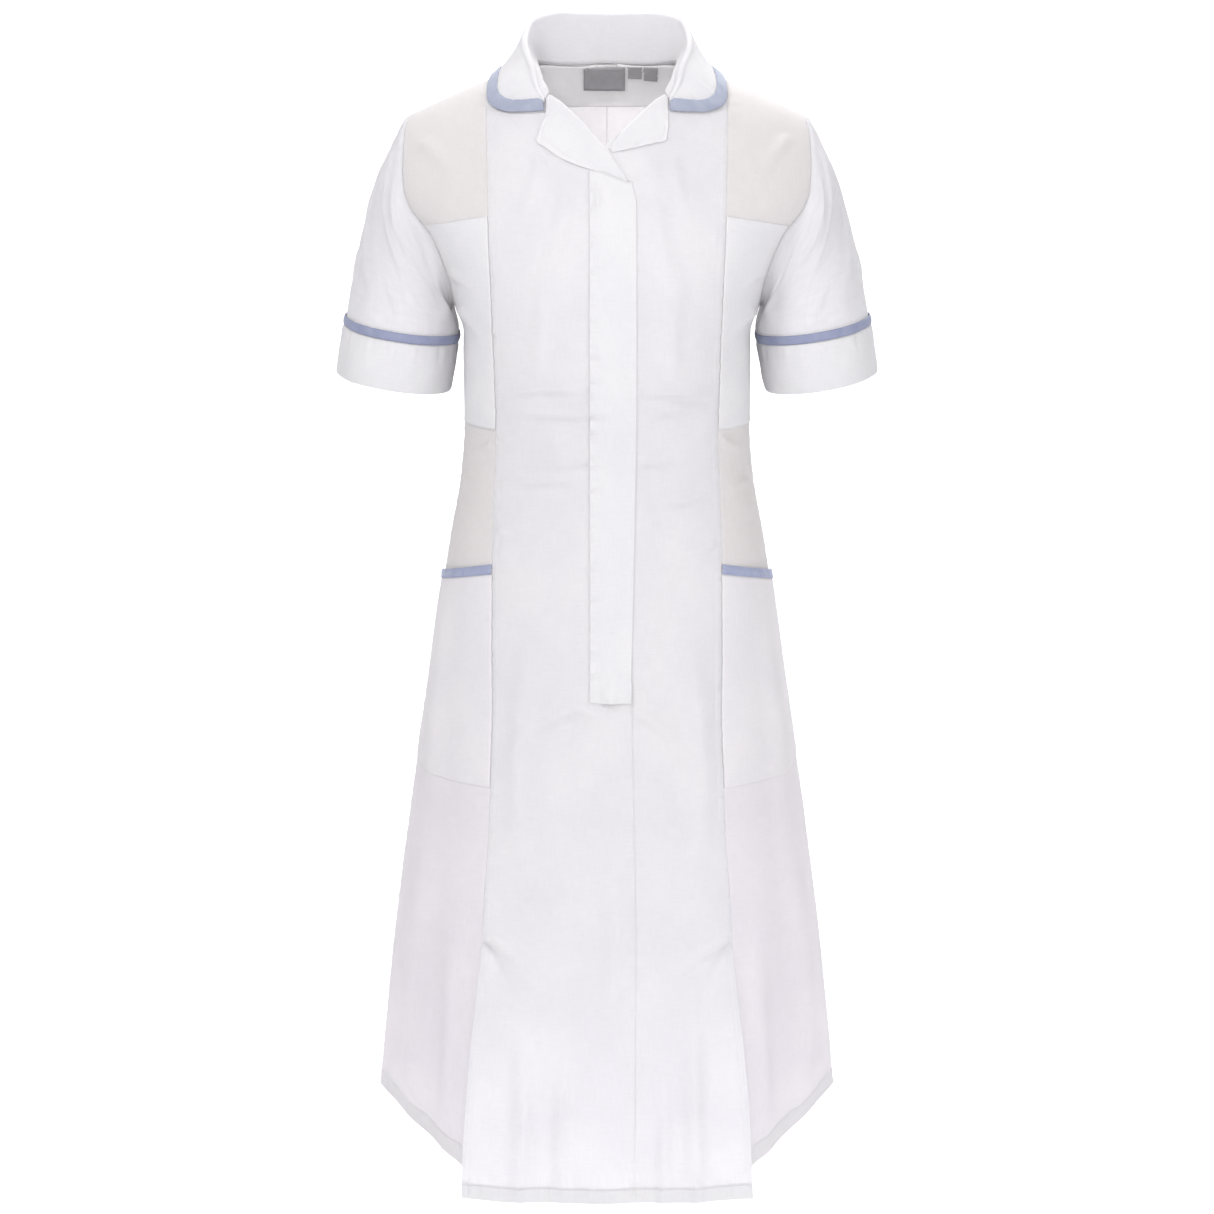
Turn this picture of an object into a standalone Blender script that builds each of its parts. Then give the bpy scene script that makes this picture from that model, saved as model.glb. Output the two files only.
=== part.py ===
"""Nurse's uniform dress, worn and hollow, sized as a small woman's knee-length dress.

Metres, +Z up. The front faces -Y and the wearer's left is at +X. The origin lies between the
shoulders, at the height of the neck points, where the wearer's shoulders hold the dress up.
The body is a stack of rounded rings. A level is a ring's height: above the armpits a ring tilts
until, at level 0, it lies along the shoulder seams.
"""

import math
from collections import namedtuple

import bmesh
import bpy
import numpy as np

# Cloth and seams
CLOTH = 0.0012
DOUBLE_CLOTH = 0.0016
TRIM_CLOTH = 0.0020
LABEL_CLOTH = 0.0010
SEAM_GAP = 0.0006
STITCHED_DOWN = 0.0004

# Main heights, measured from the neck points
ARMPIT = -0.215
FRONT_HEM = -1.0495
SIDE_HEM = -1.0365
VENT_TOP = -0.800
NAPE = 0.0106

# Neck and shoulders
NECK_HALF_WIDTH = 0.066
NECK_POINT_HEIGHT = 0.010
SHOULDER_SLOPE = 0.36
SHOULDER_ROUNDING = 0.50
SHOULDER_GAP = 0.00035
BELOW_SHOULDER_SEAM = 0.00001

# The hem lifts a little at the side seams, and level again this many degrees behind them
HEM_LIFT = 0.015
HEM_LIFT_FROM = -0.78
HEM_LIFT_FADES = 70

# Folds that the flare throws at the back of the skirt: turns are degrees round from the front
BACK_FOLDS = 5
BACK_FOLD_DEPTH = 0.0045
BACK_FOLDS_FROM = -0.45
BACK_FOLDS_GROW = 0.60
BACK_FOLDS_FIRST_TURN = 96.0
BACK_FOLDS_FULL_AFTER = 30.0

# The front flap hangs nearly flat between the vents, and waves a little near its hem
FRONT_FLAP_SWEEP = 0.011
FLAP_FOLD_DEPTH = 0.0016
FLAP_FOLDS = 1.6
FLAP_FOLDS_START = 0.6
FLAP_FOLDS_FROM = 0.375

# Fly
FLY_STITCHED_EDGE = -0.0155
FLY_END = -0.5695
FLY_TOP_ROW = -0.150
FLY_TOP_ROWS = 7
LAPEL_RUNGS_ABOVE_FLY = 6
FLY_BELOW_LAPEL = 0.0016

# Pockets
HIP_POCKET_MOUTH = -0.4476
HIP_POCKET_SLANT = 0.0205
HIP_POCKET_BOTTOM = -0.655
HIP_TRIM = 0.0085
HIP_MOUTH_STANDS_OFF = 0.0013
HIP_MOUTH_OPENS_WITHIN = 0.625
HIP_MOUTH_SETTLES_WITHIN = 0.11
HIP_POCKET_ROWS_BELOW_TRIM = 0.004
BREAST_POCKET_MOUTH = -0.124
BREAST_POCKET_BOTTOM = -0.322
BREAST_POCKET_FOOT = 0.87
BREAST_POCKET_SHOULDER = 0.97
BREAST_POCKET_GAP = 0.0006
POCKET_INSET = 0.015

# Sleeves: the hem is an oval round the arm, seen here on the wearer's left
SLEEVE_HEM_CENTRE = (0.2009, 0.0000, -0.2845)
SLEEVE_HEM_HALF_WIDTH = 0.0523
SLEEVE_HEM_HALF_DEPTH = 0.0565
SLEEVE_HEM_OUTER_LIFT = 0.0085
SLEEVE_HEM_FRONT_DROP = 0.0040
SLEEVE_DIRECTION = (0.165, 0.0, -0.986)
CUFF_DEPTH = 0.0455
CUFF_TRIM = 0.0085
ARMHOLE_SEAM_ALLOWANCE = 0.0035
SLEEVE_ABOVE_CUFF_HEM = 0.0015
SLEEVE_CURVE_ENDS_ABOVE_TRIM = 0.002
SLEEVE_LEAVES_OUTWARDS = 0.66
SLEEVE_CURVE_REACH = 0.32

# Collar
COLLAR_TRIM = 0.0115
COLLAR_ROLL = 0.0034
COLLAR_ROLL_AT_END = 0.0024
COLLAR_CLEARANCE = 0.0034
COLLAR_END_HEIGHT = -0.0190
SHOULDER_STATION = 3 / 9
COLLAR_NARROWS_FROM = 0.4
ROLL_POINTS_BELOW_COLLAR = 3
STAND_RAISED = np.array([0.0, -0.0020, 0.0028])
STAND_RAISED_WITHIN = 0.3
LEAST_FALL_SHARE = 0.10
COLLAR_STAND_ROW = 0.5
COLLAR_FALL_ROWS = (0.35, 0.7)
COLLAR_ROLL_ROWS = (0, 45, 90, 135, 180)

# Rings of the body, from the hem to the armpits
Ring = namedtuple("Ring", "name level half_width front back middle squareness")
RINGS = (
    Ring("hem", -1.0495, 0.2360, 0.250, 0.075, 0.100, 2.40),
    Ring("knee", -0.850, 0.2133, 0.204, 0.088, 0.066, 2.40),
    Ring("thigh", -0.700, 0.1920, 0.172, 0.102, 0.040, 2.35),
    Ring("hip", -0.560, 0.1702, 0.142, 0.109, 0.018, 2.30),
    Ring("pocket mouth", -0.475, 0.1560, 0.119, 0.100, 0.006, 2.30),
    Ring("high hip", -0.430, 0.1485, 0.107, 0.092, 0.000, 2.30),
    Ring("waist", -0.375, 0.1385, 0.104, 0.083, 0.000, 2.30),
    Ring("above waist", -0.335, 0.1350, 0.111, 0.088, 0.000, 2.35),
    Ring("under bust", -0.285, 0.1338, 0.122, 0.097, 0.000, 2.40),
    Ring("side of bust", -0.238, 0.1337, 0.127, 0.103, 0.000, 2.50),
    Ring("armpit", -0.215, 0.1415, 0.125, 0.105, 0.000, 2.50),
)

# Above the armpits: how wide each ring would be, and where the armhole cuts it off
Armhole = namedtuple("Armhole", "level half_width edge")
ARMHOLE = (
    Armhole(-0.215, 0.1415, 0.1415),
    Armhole(-0.190, 0.1474, 0.1445),
    Armhole(-0.167, 0.1571, 0.1500),
    Armhole(-0.144, 0.1676, 0.1575),
    Armhole(-0.130, 0.1758, 0.1635),
    Armhole(-0.115, 0.1891, 0.1730),
    Armhole(-0.100, 0.1989, 0.1800),
    Armhole(-0.080, 0.2073, 0.1855),
    Armhole(-0.050, 0.2101, 0.1870),
    Armhole(-0.020, 0.2107, 0.1865),
    Armhole(0.000, 0.2062, 0.1825),
)

# Seam between a centre front and a side front, and where each edge runs below the vent's top
Princess = namedtuple("Princess", "level front_edge side_edge")
PRINCESS = (
    Princess(-1.0495, 0.1388, 0.1285),
    Princess(-0.983, 0.1360, 0.1280),
    Princess(-0.927, 0.1318, 0.1265),
    Princess(-0.873, 0.1257, 0.1235),
    Princess(-0.840, 0.1219, 0.1211),
    Princess(-0.800, 0.1174, 0.1174),
    Princess(-0.766, 0.1157, 0.1157),
    Princess(-0.706, 0.1113, 0.1113),
    Princess(-0.660, 0.1092, 0.1092),
    Princess(-0.570, 0.1065, 0.1065),
    Princess(-0.450, 0.1066, 0.1066),
    Princess(-0.360, 0.1038, 0.1038),
    Princess(-0.300, 0.1020, 0.1020),
    Princess(-0.220, 0.1045, 0.1045),
    Princess(-0.128, 0.1070, 0.1070),
    Princess(0.000, 0.1100, 0.1100),
)

# Front edges, as (x, height): the seam below the fly, the crossing, and each roll line
Point = namedtuple("Point", "x height")
CLOSING = (
    Point(0.0262, -1.0495), Point(0.0270, -0.800), Point(0.0245, -0.640),
    Point(0.0230, -0.560), Point(0.0232, -0.104),
)
RIGHT_ROLL = (
    Point(0.0205, -0.0962), Point(-0.0029, -0.0667), Point(-0.0238, -0.0434),
    Point(-0.0405, -0.0288), Point(-0.0535, -0.0184), Point(-0.0600, -0.0090),
    Point(-NECK_HALF_WIDTH, NECK_POINT_HEIGHT),
)
LEFT_ROLL = (
    Point(0.0205, -0.0962), Point(-0.0024, -0.0672), Point(0.0238, -0.0434),
    Point(0.0405, -0.0288), Point(0.0535, -0.0184), Point(0.0600, -0.0090),
    Point(NECK_HALF_WIDTH, NECK_POINT_HEIGHT),
)
FLY_FREE_EDGE = (
    Point(0.0212, -0.5695), Point(0.0240, -0.4600), Point(0.0262, -0.3000), Point(0.0258, -0.1150),
    Point(0.0225, -0.0990),
)

# A lapel is a strip between its roll line and its outer edge; each row is one rung across it
Rung = namedtuple("Rung", "roll_x roll_height edge_x edge_height")
RIGHT_LAPEL = (
    Rung(-0.0525, -0.0197, -0.0546, -0.0215),
    Rung(-0.0470, -0.0242, -0.0547, -0.0330),
    Rung(-0.0400, -0.0300, -0.0582, -0.0440),
    Rung(-0.0290, -0.0395, -0.0635, -0.0594),
    Rung(-0.0215, -0.0465, -0.0560, -0.0650),
    Rung(-0.0140, -0.0550, -0.0430, -0.0735),
    Rung(-0.0070, -0.0630, -0.0285, -0.0800),
    Rung(0.0000, -0.0712, -0.0140, -0.0845),
    Rung(0.0090, -0.0822, 0.0010, -0.0893),
    Rung(0.0185, -0.0945, 0.0165, -0.0963),
)
LEFT_LAPEL = (
    Rung(0.0525, -0.0197, 0.0546, -0.0215),
    Rung(0.0475, -0.0238, 0.0548, -0.0330),
    Rung(0.0410, -0.0292, 0.0550, -0.0450),
    Rung(0.0335, -0.0352, 0.0528, -0.0590),
    Rung(0.0250, -0.0430, 0.0420, -0.0615),
    Rung(0.0160, -0.0518, 0.0290, -0.0643),
    Rung(0.0085, -0.0600, 0.0160, -0.0672),
    Rung(0.0028, -0.0666, 0.0040, -0.0694),
)

# Half of the collar, from the centre back to the front end: the roll, and the point of the
# dress that the outer edge rests over
Station = namedtuple("Station", "name roll_x roll_y roll_z edge_x edge_height bow faces")
COLLAR = (
    Station("centre back", 0.0000, 0.0520, 0.0532, 0.0000, -0.0100, 0.003, "back"),
    Station("back", 0.0400, 0.0470, 0.0545, 0.0500, -0.0115, 0.003, "back"),
    Station("behind shoulder", 0.0715, 0.0260, 0.0470, 0.0865, -0.0070, 0.000, "back"),
    Station("shoulder", 0.0760, -0.0100, 0.0294, 0.1055, 0.0000, -0.001, "top"),
    Station("before shoulder", 0.0718, -0.0300, 0.0161, 0.1080, -0.0165, 0.000, "front"),
    Station("corner top", 0.0679, -0.0430, 0.0064, 0.1070, -0.0255, 0.001, "front"),
    Station("corner", 0.0654, -0.0520, -0.0033, 0.0985, -0.0325, 0.002, "front"),
    Station("corner foot", 0.0635, -0.0600, -0.0090, 0.0860, -0.0350, 0.002, "front"),
    Station("end edge", 0.0607, -0.0670, -0.0150, 0.0700, -0.0345, 0.001, "front"),
    Station("front end", 0.0565, -0.0725, -0.0212, 0.0562, -0.0336, 0.001, "front"),
)

# Labels inside the back neck
Label = namedtuple("Label", "name x width drop")
LABELS = (
    Label("neck_label", -0.0026, 0.0400, 0.0215),
    Label("size_tag", 0.0268, 0.0130, 0.0105),
    Label("fit_tag", 0.0418, 0.0130, 0.0125),
)
LABEL_TOP = 0.0060
LABEL_GAP = 0.0008

# Facing inside the back neck
FACING_HALF_WIDTH = 0.078
FACING_BOTTOM = -0.032
FACING_BELOW_SEAM = 0.0025
FACING_GAP = 0.0007

# How finely the cloth is divided
SKIRT_ROWS = 20
ROWS_CROWD_DOWN = 1.08
CLOSEST_ROWS = 0.0025
STEP_LEVEL = 0.0015
STEP_TURN = 0.7
RIGHT_FRONT_COLUMNS = 8
LEFT_FRONT_COLUMNS = 6
SIDE_COLUMNS = 7
BACK_COLUMNS = 10
FLY_COLUMNS = 4
LAPEL_COLUMNS = 3
FACING_COLUMNS = 16
FACING_ROWS = 5
SLEEVE_ROWS = 8
COLLAR_COLUMNS = 27
SHOULDER_TURNS = (0.0, 3.0, 7.0, 12.0, 18.0, 25.0, 33.0, 42.0, 52.0, 62.0, 72.0, 81.0, 89.93)

WEARERS_RIGHT = -1
WEARERS_LEFT = 1
SIDES = (("right", WEARERS_RIGHT), ("left", WEARERS_LEFT))


def through(rows, column, key, value):
    """The value of a table's column at a key, on a smooth curve that never overshoots its rows."""
    keys = np.array([getattr(row, key) for row in rows])
    values = np.array([getattr(row, column) for row in rows])
    steps = np.diff(keys)
    slopes = np.diff(values) / steps
    tangents = np.empty(len(keys))
    tangents[0], tangents[-1] = slopes[0], slopes[-1]
    for i in range(1, len(keys) - 1):
        before, after = slopes[i - 1], slopes[i]
        tangents[i] = 2 * before * after / (before + after) if before * after > 0 else 0.0
    value = min(max(value, keys[0]), keys[-1])
    i = min(int(np.searchsorted(keys, value, side="right")) - 1, len(steps) - 1)
    t = (value - keys[i]) / steps[i]
    rise = (values[i + 1] - values[i]) * t * t * (3 - 2 * t)
    lean = steps[i] * (tangents[i] * t * (1 - t) ** 2 - tangents[i + 1] * t * t * (1 - t))
    return float(values[i] + rise + lean)


def ease(t):
    t = min(max(t, 0.0), 1.0)
    return t * t * (3 - 2 * t)


def shoulder_height(x):
    beyond = abs(x) - NECK_HALF_WIDTH
    return NECK_POINT_HEIGHT - SHOULDER_SLOPE * beyond - SHOULDER_ROUNDING * beyond * beyond


def lift(level):
    """0 at the armpits and below, 1 at the shoulder seams."""
    return max(0.0, 1.0 - level / ARMPIT) if level > ARMPIT else 0.0


def level_at(x, height):
    """The level of the ring that passes a height at x."""
    if height <= ARMPIT:
        return height
    share = (height - ARMPIT) / (shoulder_height(x) - ARMPIT)
    return ARMPIT * (1 - share)


def half_width(level):
    if level > ARMPIT:
        return through(ARMHOLE, "half_width", "level", level)
    return through(RINGS, "half_width", "level", level)


def turn_at_x(level, x):
    """Degrees round the ring from the front, where the ring is that far from the middle."""
    squareness = through(RINGS, "squareness", "level", level)
    share = min(abs(x) / half_width(level), 1.0)
    return math.degrees(math.asin(share ** (squareness / 2)))


def turn_beside_side_seam(level):
    """Degrees round the ring of a panel's edge at the side seam."""
    depth = through(RINGS, "front", "level", level)
    squareness = through(RINGS, "squareness", "level", level)
    return math.degrees(math.acos((SEAM_GAP / 2 / depth) ** (squareness / 2)))


def armhole_turn(level):
    """Where a side front ends: at the side seam, or at the armhole above it."""
    if level <= ARMPIT:
        return turn_beside_side_seam(level)
    edge = through(ARMHOLE, "edge", "level", level)
    return min(turn_at_x(level, edge), turn_beside_side_seam(level))


def fold_depth(level, turn):
    """How far the flare throws the back of the skirt out and in."""
    share = ease((BACK_FOLDS_FROM - level) / BACK_FOLDS_GROW)
    behind = ease((turn - BACK_FOLDS_FIRST_TURN) / BACK_FOLDS_FULL_AFTER)
    return BACK_FOLD_DEPTH * share * behind * math.cos(math.radians((turn - 180.0) * BACK_FOLDS * 2))


def body_point(level, turn, side):
    """A point of the dress's outer face. Turn runs from 0 at the front to 180 at the back."""
    t = math.radians(turn)
    squareness = through(RINGS, "squareness", "level", level)
    reach = "front" if turn < 90 else "back"
    tuck = math.sqrt(max(0.0, 1 - lift(level) ** 2))
    depth = through(RINGS, reach, "level", level) * tuck
    width = half_width(level)
    x = width * abs(math.sin(t)) ** (2 / squareness)
    y = depth * abs(math.cos(t)) ** (2 / squareness) * (-1 if turn < 90 else 1)
    fold = fold_depth(level, turn)
    if fold:
        lean = np.array([x / width**2, y / depth**2])
        lean /= np.linalg.norm(lean)
        x, y = x + lean[0] * fold, y + lean[1] * fold
    y += through(RINGS, "middle", "level", level)
    if level > ARMPIT:
        y = min(y, -SHOULDER_GAP) if turn < 90 else max(y, SHOULDER_GAP)
    return np.array([side * x, y, level + lift(level) * shoulder_height(x)])


def outward(level, turn, side):
    """The direction out of the cloth."""
    low = min(max(turn, STEP_TURN), 180 - STEP_TURN)
    across = body_point(level, low + STEP_TURN, side) - body_point(level, low - STEP_TURN, side)
    above = min(level + STEP_LEVEL, -BELOW_SHOULDER_SEAM)
    up = body_point(above, turn, side) - body_point(level - STEP_LEVEL, turn, side)
    normal = np.cross(across, up) * side
    return normal / np.linalg.norm(normal)


def on_front(x, level):
    return body_point(level, turn_at_x(level, x), WEARERS_RIGHT if x < 0 else WEARERS_LEFT)


def free_share(level):
    """0 above the vents, rising to 1 at the hem."""
    return min(max((VENT_TOP - level) / (VENT_TOP - FRONT_HEM), 0.0), 1.0)


def flap_point(x, level):
    """A point of a centre front, whose part between the vents hangs as a nearly flat flap."""
    point = on_front(x, level)
    free = free_share(level)
    if free:
        edge = through(PRINCESS, "front_edge", "level", level)
        flat = on_front(0.0, level)[1] + FRONT_FLAP_SWEEP * (x / edge) ** 2
        waves = FLAP_FOLD_DEPTH * math.cos(x / edge * math.pi * 2 * FLAP_FOLDS + FLAP_FOLDS_START)
        grown = ease((free - FLAP_FOLDS_FROM) / (1 - FLAP_FOLDS_FROM))
        point[1] += (flat - point[1]) * free - waves * grown
    return point


def hem_lift(level, turn):
    """How far a side or back panel is drawn up at this turn, less higher up the skirt."""
    if level >= HEM_LIFT_FROM:
        return 0.0
    share = ease(turn / 90) if turn < 90 else 1 - ease((turn - 90) / HEM_LIFT_FADES)
    return HEM_LIFT * share * ((HEM_LIFT_FROM - level) / (HEM_LIFT_FROM - SIDE_HEM)) ** 2


def skirt_levels(hem):
    """Levels from the hem to just below the armpits."""
    return [hem + (ARMPIT - hem) * (i / SKIRT_ROWS) ** ROWS_CROWD_DOWN for i in range(SKIRT_ROWS)]


def shoulder_levels():
    """Levels from the armpits to the shoulder seams."""
    return [ARMPIT * (1 - math.sin(math.radians(turn))) for turn in SHOULDER_TURNS]


def front_levels(edge):
    """The usual levels and those of a front edge's corners, without any that nearly coincide."""
    levels = skirt_levels(FRONT_HEM) + shoulder_levels()
    for corner in edge:
        level = level_at(corner.x, corner.height)
        if min(abs(level - other) for other in levels) > CLOSEST_ROWS:
            levels.append(level)
    return sorted(levels)


def edge_x(points, level):
    """Where a front edge, given as points, crosses a level."""
    levels = [level_at(point.x, point.height) for point in points]
    return float(np.interp(level, levels, [point.x for point in points]))


def back_neck_x(level):
    """Half the width of the back neckline at a level, 0 below the nape."""
    nape_turn = math.degrees(math.asin(lift(level_at(0.0, NAPE))))
    turn = math.degrees(math.asin(min(lift(level), 1.0)))
    if turn <= nape_turn:
        return 0.0
    share = min((90.0 - turn) / (90.0 - nape_turn), 1.0)
    return NECK_HALF_WIDTH * math.sqrt(1 - share * share)


def cloth_material(name, colour, roughness):
    """A plain material from a colour written as sRGB 0 to 255."""
    linear = [((c / 255 + 0.055) / 1.055) ** 2.4 for c in colour]
    material = bpy.data.materials.new(name)
    material.use_nodes = True
    shader = material.node_tree.nodes["Principled BSDF"]
    shader.inputs["Base Color"].default_value = (*linear, 1)
    shader.inputs["Roughness"].default_value = roughness
    shader.inputs["Metallic"].default_value = 0.0
    return material


def cloth(name, grid, thickness, colour, collection, ring=False):
    """A wall of cloth: the rows of points are its outer face, and Solidify gives it thickness inwards.

    Rows run upwards and points run towards the wearer's left as seen from outside at the front.
    A ring's last point joins its first.
    """
    mesh = bpy.data.meshes.new(name)
    shape = bmesh.new()
    rows = [[shape.verts.new(point) for point in row] for row in grid]
    for low, high in zip(rows, rows[1:]):
        count = len(low)
        for i in range(count if ring else count - 1):
            j = (i + 1) % count
            shape.faces.new((low[i], low[j], high[j], high[i]))
    shape.to_mesh(mesh)
    shape.free()
    mesh.shade_smooth()
    mesh.materials.append(cloth_material(name, *colour))
    piece = bpy.data.objects.new(name, mesh)
    wall = piece.modifiers.new("Wall", "SOLIDIFY")
    wall.thickness = thickness
    wall.offset = -1
    wall.use_rim = True
    collection.objects.link(piece)
    return piece


def facing_out(grid, side):
    """Rows turned round for the wearer's right, so that every piece faces out."""
    return grid if side == WEARERS_LEFT else [row[::-1] for row in grid]


def fractions(count):
    return [i / count for i in range(count + 1)]


class Panel:
    """A panel's grid of points, kept so that other pieces can be laid on the cloth itself."""

    def __init__(self, levels, grid, side):
        self.levels = levels
        self.side = side
        self.points = np.array(grid)
        normals = np.cross(np.gradient(self.points, axis=1), np.gradient(self.points, axis=0)) * side
        self.normals = normals / np.linalg.norm(normals, axis=2, keepdims=True)

    def at(self, level, share, out=0.0):
        """The point at a level and a share of the way across, moved out of the cloth."""
        rows, columns = self.points.shape[:2]
        row = float(np.interp(level, self.levels, range(rows)))
        column = share * (columns - 1)
        i = min(int(row), rows - 2)
        j = min(max(int(column), 0), columns - 2)
        a, b = row - i, column - j
        weights = ((1 - a) * (1 - b), (1 - a) * b, a * (1 - b), a * b)
        corners = ((i, j), (i, j + 1), (i + 1, j), (i + 1, j + 1))
        point = sum(w * self.points[c] for w, c in zip(weights, corners))
        normal = sum(w * self.normals[c] for w, c in zip(weights, corners))
        return point + normal / np.linalg.norm(normal) * out

    def share_at_x(self, level, x):
        shares = np.linspace(0, 1, self.points.shape[1])
        across = [self.side * self.at(level, share)[0] for share in shares]
        if across[0] > across[-1]:
            across, shares = across[::-1], shares[::-1]
        return float(np.interp(self.side * x, across, shares))


def centre_front(name, edge, side, columns, collection):
    """A centre front, from the closing edge and roll line out to the princess seam."""
    levels = front_levels(edge)
    grid = []
    for level in levels:
        start = edge_x(edge, level) + side * SEAM_GAP / 2
        end = side * (through(PRINCESS, "front_edge", "level", level) - SEAM_GAP / 2)
        grid.append([flap_point(start + (end - start) * f, level) for f in fractions(columns)])
    cloth(name, facing_out(grid, side), CLOTH, WHITE, collection)
    return Panel(levels, grid, side)


def side_point(level, share, side):
    """A point of a side front: share runs from 0 at the princess seam to 1 at the side or armhole.

    Beside a vent the cloth hangs straight from the vent's edge back to the side seam.
    """
    raised = level
    for _ in range(2):
        start = turn_at_x(raised, through(PRINCESS, "side_edge", "level", raised) + SEAM_GAP / 2)
        turn = start + (armhole_turn(raised) - start) * share
        raised = level + hem_lift(level, turn)
    point = body_point(raised, turn, side)
    free = free_share(level)
    if free:
        first, last = body_point(raised, start, side), body_point(raised, armhole_turn(raised), side)
        last[1] -= SEAM_GAP * free
        straight = first + (last - first) * (point[0] - first[0]) / (last[0] - first[0])
        point += (straight - point) * free
    return point


def side_front(name, side, collection):
    levels = skirt_levels(SIDE_HEM) + shoulder_levels()
    grid = [[side_point(level, f, side) for f in fractions(SIDE_COLUMNS)] for level in levels]
    cloth(name, facing_out(grid, side), CLOTH, WHITE, collection)
    return Panel(levels, grid, side)


def back_turns(level):
    """Where a back panel starts and ends: at the side or armhole, and at the centre back or neck."""
    return 180 - armhole_turn(level), 180 - turn_at_x(level, back_neck_x(level) + SEAM_GAP / 2)


def back_point(level, share, side):
    raised = level
    for _ in range(2):
        start, end = back_turns(raised)
        turn = start + (end - start) * share
        raised = level + hem_lift(level, turn)
    return body_point(raised, turn, side)


def back(name, side, collection):
    levels = skirt_levels(SIDE_HEM) + shoulder_levels()
    grid = [[back_point(level, f, side) for f in fractions(BACK_COLUMNS)] for level in levels]
    cloth(name, facing_out(grid, side), CLOTH, WHITE, collection)
    return Panel(levels, grid, side)


def on_panels(right, left, x, height, out):
    """A point laid on whichever centre front is under it."""
    level = level_at(x, height)
    panel = right if x < right.at(level, 0.0)[0] else left
    return panel.at(level, panel.share_at_x(level, x), out)


def fly(right, left, collection):
    """The placket over the opening: sewn down its right edge, free at its left edge and its end."""
    lapel_edge = [Point(rung.edge_x, rung.edge_height) for rung in RIGHT_LAPEL[LAPEL_RUNGS_ABOVE_FLY:]]
    lapel_x, lapel_height = [p.x for p in lapel_edge], [p.height for p in lapel_edge]
    free_x, free_height = [p.x for p in FLY_FREE_EDGE], [p.height for p in FLY_FREE_EDGE]
    below_lapel = [level for level in left.levels if FLY_END < level < FLY_TOP_ROW]
    heights = []
    for level in [FLY_END, *below_lapel]:
        heights.append([level + lift(level) * shoulder_height(0.0)] * (FLY_COLUMNS + 1))
    columns = []
    for across in fractions(FLY_COLUMNS):
        last = heights[-1][0]
        top_x = FLY_STITCHED_EDGE + (free_x[-1] - FLY_STITCHED_EDGE) * across
        top = np.interp(top_x, lapel_x, lapel_height) - FLY_BELOW_LAPEL
        columns.append([last + (top - last) * f for f in fractions(FLY_TOP_ROWS)[1:]])
    heights += [list(row) for row in zip(*columns)]
    grid = []
    for row_heights in heights:
        row = []
        for across, height in zip(fractions(FLY_COLUMNS), row_heights):
            x = FLY_STITCHED_EDGE + (np.interp(height, free_height, free_x) - FLY_STITCHED_EDGE) * across
            row.append(on_panels(right, left, x, height, STITCHED_DOWN + DOUBLE_CLOTH))
        grid.append(row)
    return cloth("fly", grid, DOUBLE_CLOTH, WHITE, collection)


def lapel(name, rungs, panels, side, collection):
    """A turned-back front facing, lying on the front from its roll line to its outer edge."""
    keys = range(len(rungs))
    grid = []
    for step in fractions(2 * (len(rungs) - 1)):
        key = step * (len(rungs) - 1)
        row = []
        for across in fractions(LAPEL_COLUMNS):
            x = np.interp(key, keys, [r.roll_x + (r.edge_x - r.roll_x) * across for r in rungs])
            height = np.interp(
                key, keys, [r.roll_height + (r.edge_height - r.roll_height) * across for r in rungs]
            )
            row.append(on_panels(*panels, x, height, STITCHED_DOWN + CLOTH))
        grid.append(row)
    return cloth(name, facing_out(grid[::-1], side), CLOTH, WHITE, collection)


def hip_mouth(share):
    return HIP_POCKET_MOUTH - HIP_POCKET_SLANT * share


def hip_stand_off(share, below):
    """The mouth stands off the side panel towards the side seam, and settles lower down."""
    opened = ease(share / HIP_MOUTH_OPENS_WITHIN) * (1 - ease(below / HIP_MOUTH_SETTLES_WITHIN))
    return STITCHED_DOWN + CLOTH + HIP_MOUTH_STANDS_OFF * opened


def pocket_shares(first, last):
    """Shares across a side front at its own columns, ended short of its edges."""
    return [first, *[share for share in fractions(SIDE_COLUMNS) if first < share < last], last]


def hip_pocket(name, panel, side, collection):
    lowest_mouth = hip_mouth(1.0) - HIP_TRIM - SEAM_GAP
    highest_row = lowest_mouth - HIP_POCKET_ROWS_BELOW_TRIM
    rows = [level for level in panel.levels if HIP_POCKET_BOTTOM < level < highest_row]
    grid = []
    for level in [HIP_POCKET_BOTTOM, *rows, None]:
        row = []
        for share in pocket_shares(POCKET_INSET, 1 - POCKET_INSET):
            top = hip_mouth(share) - HIP_TRIM - SEAM_GAP
            here = top if level is None else level
            row.append(panel.at(here, share, hip_stand_off(share, hip_mouth(share) - here)))
        grid.append(row)
    return cloth(name, facing_out(grid, side), CLOTH, WHITE, collection)


def hip_trim(name, panel, side, collection):
    """The contrast binding along a hip pocket's mouth."""
    grid = []
    for f in fractions(2):
        row = []
        for share in pocket_shares(POCKET_INSET, 1 - POCKET_INSET):
            level = hip_mouth(share) - HIP_TRIM * (1 - f)
            out = hip_stand_off(share, hip_mouth(share) - level) + TRIM_CLOTH - CLOTH
            row.append(panel.at(level, share, out))
        grid.append(row)
    return cloth(name, facing_out(grid, side), TRIM_CLOTH, BLUE, collection)


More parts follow.
